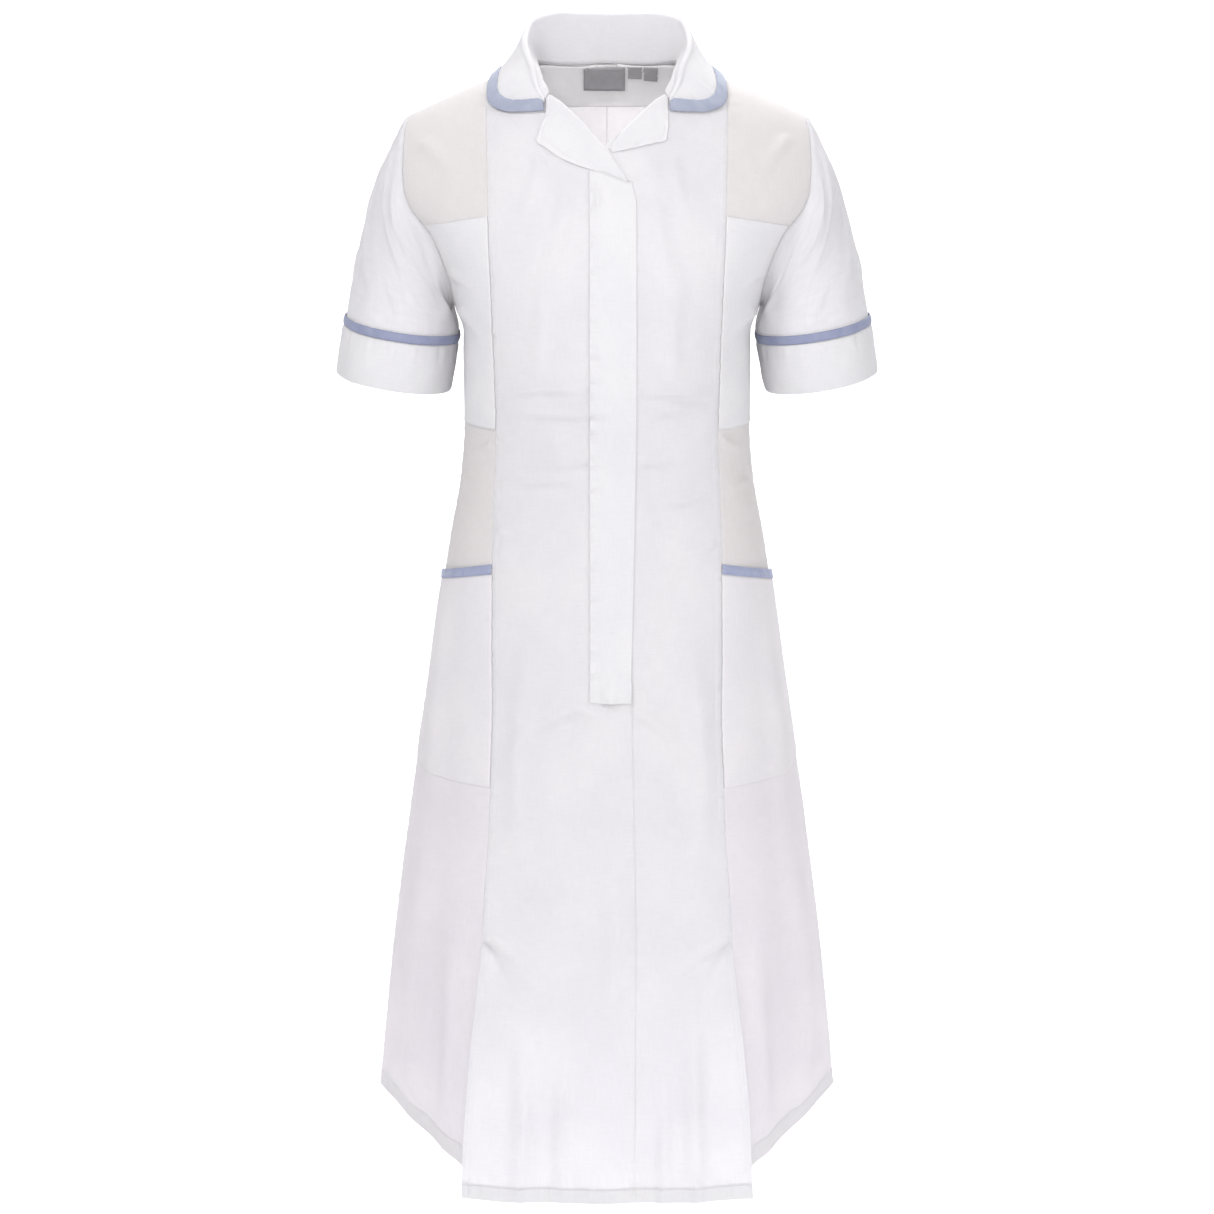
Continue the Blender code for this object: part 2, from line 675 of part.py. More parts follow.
def breast_pocket(name, panel, side, collection):
    rows = [level for level in panel.levels if BREAST_POCKET_BOTTOM < level < BREAST_POCKET_MOUTH]
    grid = []
    for level in [BREAST_POCKET_BOTTOM, *rows, BREAST_POCKET_MOUTH]:
        up = (level - BREAST_POCKET_BOTTOM) / (BREAST_POCKET_MOUTH - BREAST_POCKET_BOTTOM)
        last = BREAST_POCKET_FOOT + (BREAST_POCKET_SHOULDER - BREAST_POCKET_FOOT) * ease(up)
        shares = pocket_shares(POCKET_INSET, BREAST_POCKET_FOOT)[:-1] + [last]
        grid.append([panel.at(level, share, BREAST_POCKET_GAP + CLOTH) for share in shares])
    return cloth(name, facing_out(grid, side), CLOTH, WHITE, collection)


def on_backs(right, left, x, height, out):
    """A point laid on whichever back is behind it."""
    panel = right if x < 0 else left
    level = level_at(x, height)
    return panel.at(level, panel.share_at_x(level, x), out)


def back_neck_facing(right, left, collection):
    """The facing inside the back neck, from shoulder seam to shoulder seam."""
    grid = []
    for f in fractions(FACING_ROWS):
        row = []
        for share in fractions(FACING_COLUMNS):
            x = (share * 2 - 1) * FACING_HALF_WIDTH
            shoulder_share = min(abs(x) / NECK_HALF_WIDTH, 1.0)
            nape_drop = NAPE + (NECK_POINT_HEIGHT - NAPE) * shoulder_share**2
            top = min(nape_drop, shoulder_height(x)) - FACING_BELOW_SEAM
            height = FACING_BOTTOM + (top - FACING_BOTTOM) * f
            row.append(on_backs(right, left, x, height, -CLOTH - FACING_GAP))
        grid.append(row[::-1])
    return cloth("back_neck_facing", grid, CLOTH, WHITE, collection)


def armhole_ring(side):
    """The armhole's edge, from the shoulder down the front, under the arm and up the back.

    Each place is a point, the direction out of the cloth, and the direction on across the hole.
    """
    turns = [(level, armhole_turn(level)) for level in shoulder_levels()]
    front = [(body_point(*at, side), outward(*at, side)) for at in turns]
    rear = [(body_point(l, 180 - t, side), outward(l, 180 - t, side)) for l, t in turns]
    top = tuple((a + b) / 2 for a, b in zip(front[-1], rear[-1]))
    bottom = tuple((a + b) / 2 for a, b in zip(front[0], rear[0]))
    ring = [top, *front[-2:0:-1], bottom, *rear[1:-1]]
    centre = sum(point for point, _ in ring) / len(ring)
    places = []
    for i, (point, normal) in enumerate(ring):
        along = ring[(i + 1) % len(ring)][0] - ring[i - 1][0]
        across = np.cross(along, normal)
        across /= np.linalg.norm(across)
        if across @ (centre - point) < 0:
            across = -across
        places.append((point, normal / np.linalg.norm(normal), across))
    return places


def sleeve_angles():
    """Degrees round the sleeve for each point of the armhole: 0 on top, 90 in front, 180 below."""
    front = [2 * (90 - turn) for turn in SHOULDER_TURNS]
    return [0.0, *front[-2:0:-1], 180.0, *[360 - angle for angle in front[1:-1]]]


def sleeve_hem_point(angle, side, above=0.0, out=0.0):
    """A point of the sleeve's hem, or that far above it along the sleeve."""
    a = math.radians(angle)
    x = SLEEVE_HEM_CENTRE[0] + (SLEEVE_HEM_HALF_WIDTH + out) * math.cos(a)
    y = SLEEVE_HEM_CENTRE[1] - (SLEEVE_HEM_HALF_DEPTH + out) * math.sin(a)
    z = SLEEVE_HEM_CENTRE[2] + SLEEVE_HEM_OUTER_LIFT * math.cos(a) - SLEEVE_HEM_FRONT_DROP * math.sin(a)
    point = np.array([x, y, z]) - np.array(SLEEVE_DIRECTION) * above
    return point * np.array([side, 1, 1])


def sleeve_line(place, angle, side, count):
    """Points down the sleeve: on across the armhole seam, over in a curve, and straight at the cuff.

    On top the sleeve carries on along the shoulder. Under the arm it stands out of the side panel.
    """
    point, normal, across = place
    a = math.radians(angle)
    standing = math.pi / 4 * (1 - math.cos(a))
    leave = across * math.cos(standing) + normal * math.sin(standing)
    arrive = np.array(SLEEVE_DIRECTION) * np.array([side, 1, 1])
    arrive /= np.linalg.norm(arrive)
    straight = CUFF_DEPTH + CUFF_TRIM + SLEEVE_CURVE_ENDS_ABOVE_TRIM
    end = sleeve_hem_point(angle, side, straight)
    start = point + leave * ARMHOLE_SEAM_ALLOWANCE
    onwards = leave * SLEEVE_LEAVES_OUTWARDS + arrive
    onwards /= np.linalg.norm(onwards)
    reach = np.linalg.norm(end - start) * SLEEVE_CURVE_REACH
    p1, p2 = start + onwards * reach, end - arrive * reach
    line = [point + leave * SEAM_GAP]
    for t in fractions(count):
        line.append(
            (1 - t) ** 3 * start + 3 * t * (1 - t) ** 2 * p1 + 3 * t * t * (1 - t) * p2 + t**3 * end
        )
    for f in fractions(2)[1:]:
        line.append(sleeve_hem_point(angle, side, straight * (1 - f) + SLEEVE_ABOVE_CUFF_HEM * f))
    return line


def sleeve(name, side, collection):
    lines = [
        sleeve_line(place, angle, side, SLEEVE_ROWS)
        for place, angle in zip(armhole_ring(side), sleeve_angles())
    ]
    grid = [[line[i] for line in lines] for i in range(len(lines[0]))]
    return cloth(name, facing_out(grid, side), CLOTH, WHITE, collection, ring=True)


def cuff_ring(side, above, out):
    return [sleeve_hem_point(angle, side, above, out) for angle in sleeve_angles()]


def cuff(name, side, collection):
    out = STITCHED_DOWN + CLOTH
    grid = [cuff_ring(side, CUFF_DEPTH * f, out) for f in fractions(2)]
    return cloth(name, facing_out(grid[::-1], side), CLOTH, WHITE, collection, ring=True)


def cuff_trim(name, side, collection):
    out = STITCHED_DOWN + TRIM_CLOTH
    heights = [CUFF_DEPTH + SEAM_GAP + CUFF_TRIM * f for f in fractions(1)]
    grid = [cuff_ring(side, above, out) for above in heights]
    return cloth(name, facing_out(grid[::-1], side), TRIM_CLOTH, BLUE, collection, ring=True)


def collar_edge(station):
    """The point over the dress where the collar's outer edge lies."""
    x, faces = station.edge_x, station.faces
    if faces == "top":
        return np.array([x, 0.0, shoulder_height(x) + COLLAR_CLEARANCE])
    level = level_at(x, station.edge_height)
    turn = turn_at_x(level, x)
    turn = turn if faces == "front" else 180 - turn
    point, normal = body_point(level, turn, WEARERS_LEFT), outward(level, turn, WEARERS_LEFT)
    return point + normal * COLLAR_CLEARANCE


def neck_seam(share):
    """A point of the neck seam: share runs from 0 at the nape to 1 at the collar's front end."""
    if share < SHOULDER_STATION:
        nape_turn = math.asin(lift(level_at(0.0, NAPE)))
        round_share = math.sqrt(1 - (share / SHOULDER_STATION) ** 2)
        turn = nape_turn + (math.pi / 2 - nape_turn) * (1 - round_share)
        level = min(ARMPIT * (1 - math.sin(turn)), -BELOW_SHOULDER_SEAM)
        return body_point(level, 180 - turn_at_x(level, back_neck_x(level)), WEARERS_LEFT)
    f = (share - SHOULDER_STATION) / (1 - SHOULDER_STATION)
    height = NECK_POINT_HEIGHT + (COLLAR_END_HEIGHT - NECK_POINT_HEIGHT) * f
    neckline = LEFT_ROLL[ROLL_POINTS_BELOW_COLLAR:]
    x = np.interp(height, [p.height for p in neckline], [p.x for p in neckline])
    return on_front(x, min(level_at(x, height), -BELOW_SHOULDER_SEAM))


def collar_stations(count):
    """Neck seam, roll, edge and bow along half of the collar, from the centre back to the front end."""
    Keyed = namedtuple("Keyed", "key roll_x roll_y roll_z bow out_x out_y out_z")
    keyed = [
        Keyed(i, s.roll_x, s.roll_y, s.roll_z, s.bow, *collar_edge(s)) for i, s in enumerate(COLLAR)
    ]
    stations = []
    for f in fractions(count):
        key = f * (len(COLLAR) - 1)
        roll = np.array([through(keyed, c, "key", key) for c in ("roll_x", "roll_y", "roll_z")])
        edge = np.array([through(keyed, c, "key", key) for c in ("out_x", "out_y", "out_z")])
        stations.append((neck_seam(f), roll, edge, through(keyed, "bow", "key", key)))
    return stations


def collar_section(seam, roll, edge, bow, radius, raised):
    """Points across the collar: up the stand, over the roll and down the fall, then the trim."""
    out = edge - roll
    out[2] = 0
    out /= np.linalg.norm(out)
    up = np.array([0, 0, 1.0])
    foot = seam - out * (DOUBLE_CLOTH + SEAM_GAP) + up * SEAM_GAP + raised
    centre = roll - up * radius
    over = []
    for t in np.radians(COLLAR_ROLL_ROWS):
        over.append(centre + (up * math.sin(t) - out * math.cos(t)) * radius)
    fall = edge - over[-1]
    length = np.linalg.norm(fall)
    trim_start = max(1 - COLLAR_TRIM / length, LEAST_FALL_SHARE)
    side_on = np.cross(fall, np.cross(up, fall))
    lean = side_on / np.linalg.norm(side_on) * bow
    white = [foot, foot + (over[0] - foot) * COLLAR_STAND_ROW, *over]
    fall_shares = [trim_start * share for share in COLLAR_FALL_ROWS]
    for share in (*fall_shares, trim_start - SEAM_GAP / length):
        white.append(over[-1] + fall * share + lean * math.sin(math.pi * share))
    trim = []
    for share in (trim_start, (1 + trim_start) / 2, 1.0):
        trim.append(over[-1] + fall * share + lean * math.sin(math.pi * share))
    return white, trim


def mirrored(point):
    return point * np.array([-1, 1, 1])


def collar(collection):
    """The collar and the contrast binding along its outer edge."""
    stations = collar_stations(COLLAR_COLUMNS)
    white, trim = [], []
    for f, (seam, roll, edge, bow) in zip(fractions(COLLAR_COLUMNS), stations):
        narrowed = ease((f - COLLAR_NARROWS_FROM) / (1 - COLLAR_NARROWS_FROM))
        radius = COLLAR_ROLL + (COLLAR_ROLL_AT_END - COLLAR_ROLL) * narrowed
        raised = STAND_RAISED * ease((f - SHOULDER_STATION) / STAND_RAISED_WITHIN)
        section = collar_section(seam, roll, edge, bow, radius, raised)
        white.append(section[0])
        trim.append(section[1])
    end = len(white) - 1
    both_white = [[mirrored(p) for p in row] for row in white[end - 1:0:-1]] + white[:end]
    both_trim = [[mirrored(p) for p in row] for row in trim[:0:-1]] + trim
    cloth("collar", both_white[::-1], DOUBLE_CLOTH, WHITE, collection)
    cloth("collar_trim", both_trim[::-1], TRIM_CLOTH, BLUE, collection)


def label(spec, right, left, collection):
    """A woven label laid against the facing under the neck seam."""
    inwards = CLOTH * 2 + FACING_GAP + LABEL_GAP + LABEL_CLOTH
    grid = []
    for f in fractions(2):
        row = []
        for across in fractions(3):
            x = spec.x + spec.width * (across - 0.5)
            height = LABEL_TOP - spec.drop * (1 - f)
            row.append(on_backs(right, left, x, height, -inwards))
        grid.append(row)
    return cloth(spec.name, grid, LABEL_CLOTH, GREY, collection)


WHITE = ((236, 235, 240), 0.85)
BLUE = ((170, 183, 217), 0.80)
GREY = ((160, 158, 161), 0.70)


def main():
    for obj in list(bpy.data.objects):
        bpy.data.objects.remove(obj)
    dress = bpy.data.collections.new("Nurse uniform dress")
    bpy.context.scene.collection.children.link(dress)
    right = centre_front("front_right", CLOSING + RIGHT_ROLL, WEARERS_RIGHT, RIGHT_FRONT_COLUMNS, dress)
    left = centre_front("front_left", CLOSING + LEFT_ROLL, WEARERS_LEFT, LEFT_FRONT_COLUMNS, dress)
    fly(right, left, dress)
    lapel("lapel_right", RIGHT_LAPEL, (right, left), WEARERS_RIGHT, dress)
    lapel("lapel_left", LEFT_LAPEL, (right, left), WEARERS_LEFT, dress)
    backs = []
    for word, side in SIDES:
        panel = side_front(f"side_front_{word}", side, dress)
        backs.append(back(f"back_{word}", side, dress))
        hip_pocket(f"hip_pocket_{word}", panel, side, dress)
        hip_trim(f"hip_pocket_trim_{word}", panel, side, dress)
        breast_pocket(f"breast_pocket_{word}", panel, side, dress)
        sleeve(f"sleeve_{word}", side, dress)
        cuff(f"cuff_{word}", side, dress)
        cuff_trim(f"cuff_trim_{word}", side, dress)
    back_neck_facing(*backs, dress)
    collar(dress)
    for spec in LABELS:
        label(spec, *backs, dress)


main()
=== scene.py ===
"""Nurse's uniform dress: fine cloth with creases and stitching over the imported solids.

Metres, +Z up. The front faces -Y and the wearer's left is at +X. Each piece of cloth lies on the
form of the solid that it replaces, worked out here again from the sizes and tables below.
A level is the height of one ring round the dress: above the armpits a ring tilts until, at level
0, it lies along the shoulder seams.
"""

import math
from collections import namedtuple

import bpy
import numpy as np
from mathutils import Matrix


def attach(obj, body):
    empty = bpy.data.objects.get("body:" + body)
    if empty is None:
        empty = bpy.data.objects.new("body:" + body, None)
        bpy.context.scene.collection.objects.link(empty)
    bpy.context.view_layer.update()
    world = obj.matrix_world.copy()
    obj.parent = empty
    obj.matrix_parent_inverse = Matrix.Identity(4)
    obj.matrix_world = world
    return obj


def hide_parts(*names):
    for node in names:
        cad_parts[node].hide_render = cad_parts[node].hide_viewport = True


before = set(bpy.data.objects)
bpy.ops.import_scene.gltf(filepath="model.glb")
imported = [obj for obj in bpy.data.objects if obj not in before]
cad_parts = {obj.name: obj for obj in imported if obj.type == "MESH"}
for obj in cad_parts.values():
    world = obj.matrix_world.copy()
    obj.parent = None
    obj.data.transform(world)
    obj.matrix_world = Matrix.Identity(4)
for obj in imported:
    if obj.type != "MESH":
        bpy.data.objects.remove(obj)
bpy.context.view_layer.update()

WEARERS_RIGHT = -1
WEARERS_LEFT = 1
SIDES = (("right", WEARERS_RIGHT), ("left", WEARERS_LEFT))

# Cloth
CLOTH = 0.0005
TRIM_CLOTH = 0.0007
LAYER_GAP = 0.0004
FOLD_GAP = 0.0012
SEAM_DITCH = 0.0004
SEAM_DITCH_WIDTH = 0.0012

# Main heights, measured from the neck points
ARMPIT = -0.215
FRONT_HEM = -1.0495
SIDE_HEM = -1.0365
VENT_TOP = -0.800
NAPE = 0.0106

# Neck and shoulders
NECK_HALF_WIDTH = 0.066
SHOULDER_FADE = 0.012
NECK_POINT_HEIGHT = 0.010
SHOULDER_SLOPE = 0.36
SHOULDER_ROUNDING = 0.50

# Skirt
HEM_LIFT = 0.015
HEM_LIFT_FROM = -0.78
FRONT_FLAP_SWEEP = 0.011
BACK_FOLDS = 5
BACK_FOLD_DEPTH = 0.0045
FLAP_FOLD_DEPTH = 0.0016
FRONT_HEM_TOP = FRONT_HEM + 0.012
SIDE_HEM_TOP = SIDE_HEM + 0.020

# Fly
FLY_STITCHED_EDGE = -0.0155
FLY_END = -0.5695

# Pockets
HIP_POCKET_MOUTH = -0.4476
HIP_POCKET_SLANT = 0.0205
HIP_POCKET_BOTTOM = -0.655
HIP_TRIM = 0.0085
HIP_MOUTH_STANDS_OFF = 0.0016
BREAST_POCKET_MOUTH = -0.124
BREAST_POCKET_BOTTOM = -0.322
BREAST_POCKET_FOOT = 0.87
BREAST_POCKET_SHOULDER = 0.97
# Above the pocket bags the side fronts are one layer, and the shade inside that shows through them is painted in as a
# warmer colour
PAINTED_SHADE_ABOVE = -0.475

# Sleeves: the hem is an oval round the arm, seen here on the wearer's left
SLEEVE_HEM_CENTRE = (0.2009, 0.0000, -0.2845)
SLEEVE_HEM_HALF_WIDTH = 0.0523
SLEEVE_HEM_HALF_DEPTH = 0.0565
SLEEVE_HEM_OUTER_LIFT = 0.0085
SLEEVE_HEM_FRONT_DROP = 0.0040
SLEEVE_DIRECTION = (0.165, 0.0, -0.986)
SLEEVE_CLEARS = 0.0005
SLEEVE_GIRTH = 0.342
CUFF_DEPTH = 0.0455
CUFF_TRIM = 0.0085
ARMHOLE_SEAM_ALLOWANCE = 0.0035

# Collar
COLLAR_TRIM = 0.0115
COLLAR_ROLL = 0.0034
COLLAR_ROLL_AT_END = 0.0024
COLLAR_CLEARANCE = 0.0034
COLLAR_END_HEIGHT = -0.0190
SHOULDER_STATION = 3 / 9
STAND_RAISED = np.array([0.0, -0.0020, 0.0028])

# Rings of the body, from the hem to the armpits
Ring = namedtuple("Ring", "name level half_width front back middle squareness")
RINGS = (
    Ring("hem", -1.0495, 0.2360, 0.250, 0.075, 0.100, 2.40),
    Ring("knee", -0.850, 0.2133, 0.204, 0.088, 0.066, 2.40),
    Ring("thigh", -0.700, 0.1920, 0.172, 0.102, 0.040, 2.35),
    Ring("hip", -0.560, 0.1702, 0.142, 0.109, 0.018, 2.30),
    Ring("pocket mouth", -0.475, 0.1560, 0.119, 0.100, 0.006, 2.30),
    Ring("high hip", -0.430, 0.1485, 0.107, 0.092, 0.000, 2.30),
    Ring("waist", -0.375, 0.1385, 0.104, 0.083, 0.000, 2.30),
    Ring("above waist", -0.335, 0.1350, 0.111, 0.088, 0.000, 2.35),
    Ring("under bust", -0.285, 0.1338, 0.122, 0.097, 0.000, 2.40),
    Ring("side of bust", -0.238, 0.1337, 0.127, 0.103, 0.000, 2.50),
    Ring("armpit", -0.215, 0.1415, 0.125, 0.105, 0.000, 2.50),
)

# Above the armpits: how wide each ring would be, and where the armhole cuts it off
Armhole = namedtuple("Armhole", "level half_width edge")
ARMHOLE = (
    Armhole(-0.215, 0.1415, 0.1415),
    Armhole(-0.190, 0.1474, 0.1445),
    Armhole(-0.167, 0.1571, 0.1500),
    Armhole(-0.144, 0.1676, 0.1575),
    Armhole(-0.130, 0.1758, 0.1635),
    Armhole(-0.115, 0.1891, 0.1730),
    Armhole(-0.100, 0.1989, 0.1800),
    Armhole(-0.080, 0.2073, 0.1855),
    Armhole(-0.050, 0.2101, 0.1870),
    Armhole(-0.020, 0.2107, 0.1865),
    Armhole(0.000, 0.2062, 0.1825),
)

# Seam between a centre front and a side front, and where each edge runs below the vent's top
Princess = namedtuple("Princess", "level front_edge side_edge")
PRINCESS = (
    Princess(-1.0495, 0.1388, 0.1285),
    Princess(-0.983, 0.1360, 0.1280),
    Princess(-0.927, 0.1318, 0.1265),
    Princess(-0.873, 0.1257, 0.1235),
    Princess(-0.840, 0.1219, 0.1211),
    Princess(-0.800, 0.1174, 0.1174),
    Princess(-0.766, 0.1157, 0.1157),
    Princess(-0.706, 0.1113, 0.1113),
    Princess(-0.660, 0.1092, 0.1092),
    Princess(-0.570, 0.1065, 0.1065),
    Princess(-0.450, 0.1066, 0.1066),
    Princess(-0.360, 0.1038, 0.1038),
    Princess(-0.300, 0.1020, 0.1020),
    Princess(-0.220, 0.1045, 0.1045),
    Princess(-0.128, 0.1070, 0.1070),
    Princess(0.000, 0.1100, 0.1100),
)

# Front edges, as (x, height): the seam below the fly, the crossing, and each roll line
Point = namedtuple("Point", "x height")
CLOSING = (
    Point(0.0262, -1.0495), Point(0.0270, -0.800), Point(0.0245, -0.640),
    Point(0.0230, -0.560), Point(0.0232, -0.104),
)
RIGHT_ROLL = (
    Point(0.0205, -0.0962), Point(-0.0029, -0.0667), Point(-0.0238, -0.0434),
    Point(-0.0405, -0.0288), Point(-0.0535, -0.0184), Point(-0.0600, -0.0090),
    Point(-NECK_HALF_WIDTH, NECK_POINT_HEIGHT),
)
LEFT_ROLL = (
    Point(0.0205, -0.0962), Point(-0.0024, -0.0672), Point(0.0238, -0.0434),
    Point(0.0405, -0.0288), Point(0.0535, -0.0184), Point(0.0600, -0.0090),
    Point(NECK_HALF_WIDTH, NECK_POINT_HEIGHT),
)
FLY_FREE_EDGE = (
    Point(0.0212, -0.5695), Point(0.0240, -0.4600), Point(0.0262, -0.3000), Point(0.0258, -0.1150),
    Point(0.0225, -0.0990),
)

# A lapel is a strip between its roll line and its outer edge; each row is one rung across it
Rung = namedtuple("Rung", "roll_x roll_height edge_x edge_height")
RIGHT_LAPEL = (
    Rung(-0.0525, -0.0197, -0.0546, -0.0215),
    Rung(-0.0470, -0.0242, -0.0547, -0.0330),
    Rung(-0.0400, -0.0300, -0.0582, -0.0440),
    Rung(-0.0290, -0.0395, -0.0635, -0.0594),
    Rung(-0.0215, -0.0465, -0.0560, -0.0650),
    Rung(-0.0140, -0.0550, -0.0430, -0.0735),
    Rung(-0.0070, -0.0630, -0.0285, -0.0800),
    Rung(0.0000, -0.0712, -0.0140, -0.0845),
    Rung(0.0090, -0.0822, 0.0010, -0.0893),
    Rung(0.0185, -0.0945, 0.0165, -0.0963),
)
LEFT_LAPEL = (
    Rung(0.0525, -0.0197, 0.0546, -0.0215),
    Rung(0.0475, -0.0238, 0.0548, -0.0330),
    Rung(0.0410, -0.0292, 0.0550, -0.0450),
    Rung(0.0335, -0.0352, 0.0528, -0.0590),
    Rung(0.0250, -0.0430, 0.0420, -0.0615),
    Rung(0.0160, -0.0518, 0.0290, -0.0643),
    Rung(0.0085, -0.0600, 0.0160, -0.0672),
    Rung(0.0028, -0.0666, 0.0040, -0.0694),
)

# Half of the collar, from the centre back to the front end: the roll, and the point of the
# dress that the outer edge rests over
Station = namedtuple("Station", "name roll_x roll_y roll_z edge_x edge_height bow faces")
COLLAR = (
    Station("centre back", 0.0000, 0.0520, 0.0532, 0.0000, -0.0100, 0.003, "back"),
    Station("back", 0.0400, 0.0470, 0.0545, 0.0500, -0.0115, 0.003, "back"),
    Station("behind shoulder", 0.0715, 0.0260, 0.0470, 0.0865, -0.0070, 0.000, "back"),
    Station("shoulder", 0.0760, -0.0100, 0.0294, 0.1055, 0.0000, -0.001, "top"),
    Station("before shoulder", 0.0718, -0.0300, 0.0161, 0.1080, -0.0165, 0.000, "front"),
    Station("corner top", 0.0679, -0.0430, 0.0064, 0.1070, -0.0255, 0.001, "front"),
    Station("corner", 0.0654, -0.0520, -0.0033, 0.0985, -0.0325, 0.002, "front"),
    Station("corner foot", 0.0635, -0.0600, -0.0090, 0.0860, -0.0350, 0.002, "front"),
    Station("end edge", 0.0607, -0.0670, -0.0150, 0.0700, -0.0345, 0.001, "front"),
    Station("front end", 0.0565, -0.0725, -0.0212, 0.0562, -0.0336, 0.001, "front"),
)

# Labels inside the back neck
Label = namedtuple("Label", "name x width drop")
LABELS = (
    Label("neck_label", -0.0026, 0.0400, 0.0215),
    Label("size_tag", 0.0268, 0.0130, 0.0105),
    Label("fit_tag", 0.0418, 0.0130, 0.0125),
)
LABEL_TOP = 0.0060
LABEL_INSIDE = 0.0034

# Facing inside the back neck
FACING_HALF_WIDTH = 0.078
FACING_BOTTOM = -0.032
FACING_BELOW_SEAM = 0.0025
FACING_INSIDE = 0.0019

# How much deeper the creases are than their tables say: all of them, and the front's once more
CREASES_DEEPENED = 2.0
FRONT_DEEPENED = 1.6

# Creases, as soft ridges (rise above 0) and troughs (below 0) from one end to the other. One that
# springs is deepest at its first end, as a pull from a seam or a tack is.
Crease = namedtuple("Crease", "x1 z1 x2 z2 bow half_width rise springs", defaults=[False])


def creases(*rows):
    """A table of creases, from rows in millimetres with the columns of Crease."""
    return [Crease(*(value / 1000 for value in row[:7]), *row[7:]) for row in rows]


# On the front
FRONT_CREASES = creases(
    (-98, -288, -18, -281, 4, 5, 1.1),
    (-92, -303, 12, -299, -3, 4.5, 0.9),
    (10, -284, 104, -292, 5, 5.5, 1),
    (28, -306, 98, -300, 3, 4, 0.8),
    (27, -349, 88, -341, -2, 4.5, 0.9, True),
    (-16, -352, -62, -358, 3, 4, -0.7, True),
    (-100, -372, -30, -366, 2, 5.5, 1),
    (30, -388, 101, -379, -3, 5, 0.9),
    (-104, -412, -48, -421, -3, 6, 0.8, True),
    (103, -425, 42, -433, 4, 5, 0.9, True),
    (-15.5, -573, -101, -645, -16, 7.5, 1.6, True),
    (24.5, -575, 92, -668, 14, 8, 1.2, True),
    (-10, -580, -50, -700, -10, 8.5, -1.1, True),
    (-9.8, -95, -9, -122, 1, 2.8, 0.9),
    (-60, -72, -92, -150, 6, 7.5, 1, True),
    (58, -68, 94, -160, -7, 8, 1.1, True),
    (-36, -105, -70, -210, 6, 10, 1.2, True),
    (45, -110, 78, -225, -8, 10, 1.1, True),
    (-117, -800, -63, -840, 4, 4.5, 1.6, True),
    (117, -800, 60, -836, -4, 4.8, 1.5, True),
    (-117, -802, -83, -868, 3, 6, -1.3, True),
    (117, -802, 86, -872, -3, 6.2, -1.2, True),
    (-80, -880, -84, -1060, 3, 10.5, 2.1),
    (-38, -905, -41, -1065, -3, 9, 1.7),
    (83, -870, 88, -1062, -4, 11, 2.2),
    (54, -930, 51, -1068, 2, 8, 1.4),
    (6, -700, 2, -900, 3, 12, 1.1),
    (-70, -520, -82, -720, -6, 13, 1.4),
    (74, -500, 86, -740, 7, 14, 1.3),
    (-58, -180, -64, -270, 4, 11, 1),
    (64, -175, 60, -275, -4, 12, 1),
    # side fronts, from the armhole and the princess seam
    (-146, -180, -112, -200, 3, 5, 1.3, True),
    (146, -176, 112, -206, -4, 5.2, 1.4, True),
    (-138, -213, -111, -250, 4, 5.5, 1.1, True),
    (138, -215, 112, -244, -4, 5, 1.2, True),
    (-172, -60, -128, -112, 6, 8.5, 1.1, True),
    (170, -55, 126, -118, -6, 8, 1, True),
    (-106, -335, -134, -352, 2, 4.5, 1, True),
    (105, -330, 134, -346, -2, 4.5, 1.1, True),
    (-134, -372, -108, -388, 2, 5, 1.2, True),
    (135, -376, 108, -384, -2, 4.8, 1.1, True),
    (-140, -402, -109, -409, -2, 5, 0.9, True),
    (140, -398, 110, -412, 3, 5.5, 1, True),
    (-148, -480, -165, -700, -6, 10, 1.5),
    (146, -500, 168, -720, 6, 11, 1.4),
    (-168, -700, -196, -1040, -5, 13.5, 2.8),
    (172, -680, 198, -1040, 5, 14, 2.6),
    (-146, -790, -160, -1050, 4, 11, 2.2),
    (142, -800, 158, -1050, -4, 11.5, 2.3),
)

# On the back
BACK_CREASES = creases(
    (-110, -300, -10, -292, 5, 6, 1.2),
    (15, -312, 115, -300, -4, 5.5, 1.3),
    (-120, -345, -30, -352, -4, 5.5, 1.4),
    (20, -340, 108, -350, 5, 6, 1.2),
    (-105, -376, 0, -369, 4, 6, 1.4),
    (6, -385, 122, -378, -3, 5.5, 1.3),
    (-118, -404, -40, -412, 3, 5, 1.1, True),
    (126, -415, 34, -408, -5, 6, 1.2, True),
    (-145, -185, -80, -235, 8, 8, 1.8, True),
    (146, -180, 76, -240, -9, 8.5, 1.9, True),
    (-150, -150, -90, -170, 6, 7.5, 1.4, True),
    (150, -146, 94, -175, -6, 8, 1.3, True),
    (-60, -50, -112, -140, 9, 10, 1.5),
    (58, -55, 118, -145, -10, 10.5, 1.4),
    (-30, -110, -36, -240, 4, 12, 1.3),
    (34, -100, 30, -250, -5, 11, 1.4),
    (-70, -480, -88, -760, -6, 13, 2),
    (66, -460, 80, -780, 7, 14, 2.1),
    (-18, -560, -26, -860, 5, 13, 1.8),
    (120, -640, 140, -1040, 6, 14, 2.6),
    (-124, -620, -146, -1040, -6, 13.5, 2.7),
    (40, -800, 48, -1050, -5, 12, 2.2),
    (-62, -820, -66, -1050, 4, 12.5, 2.1),
)

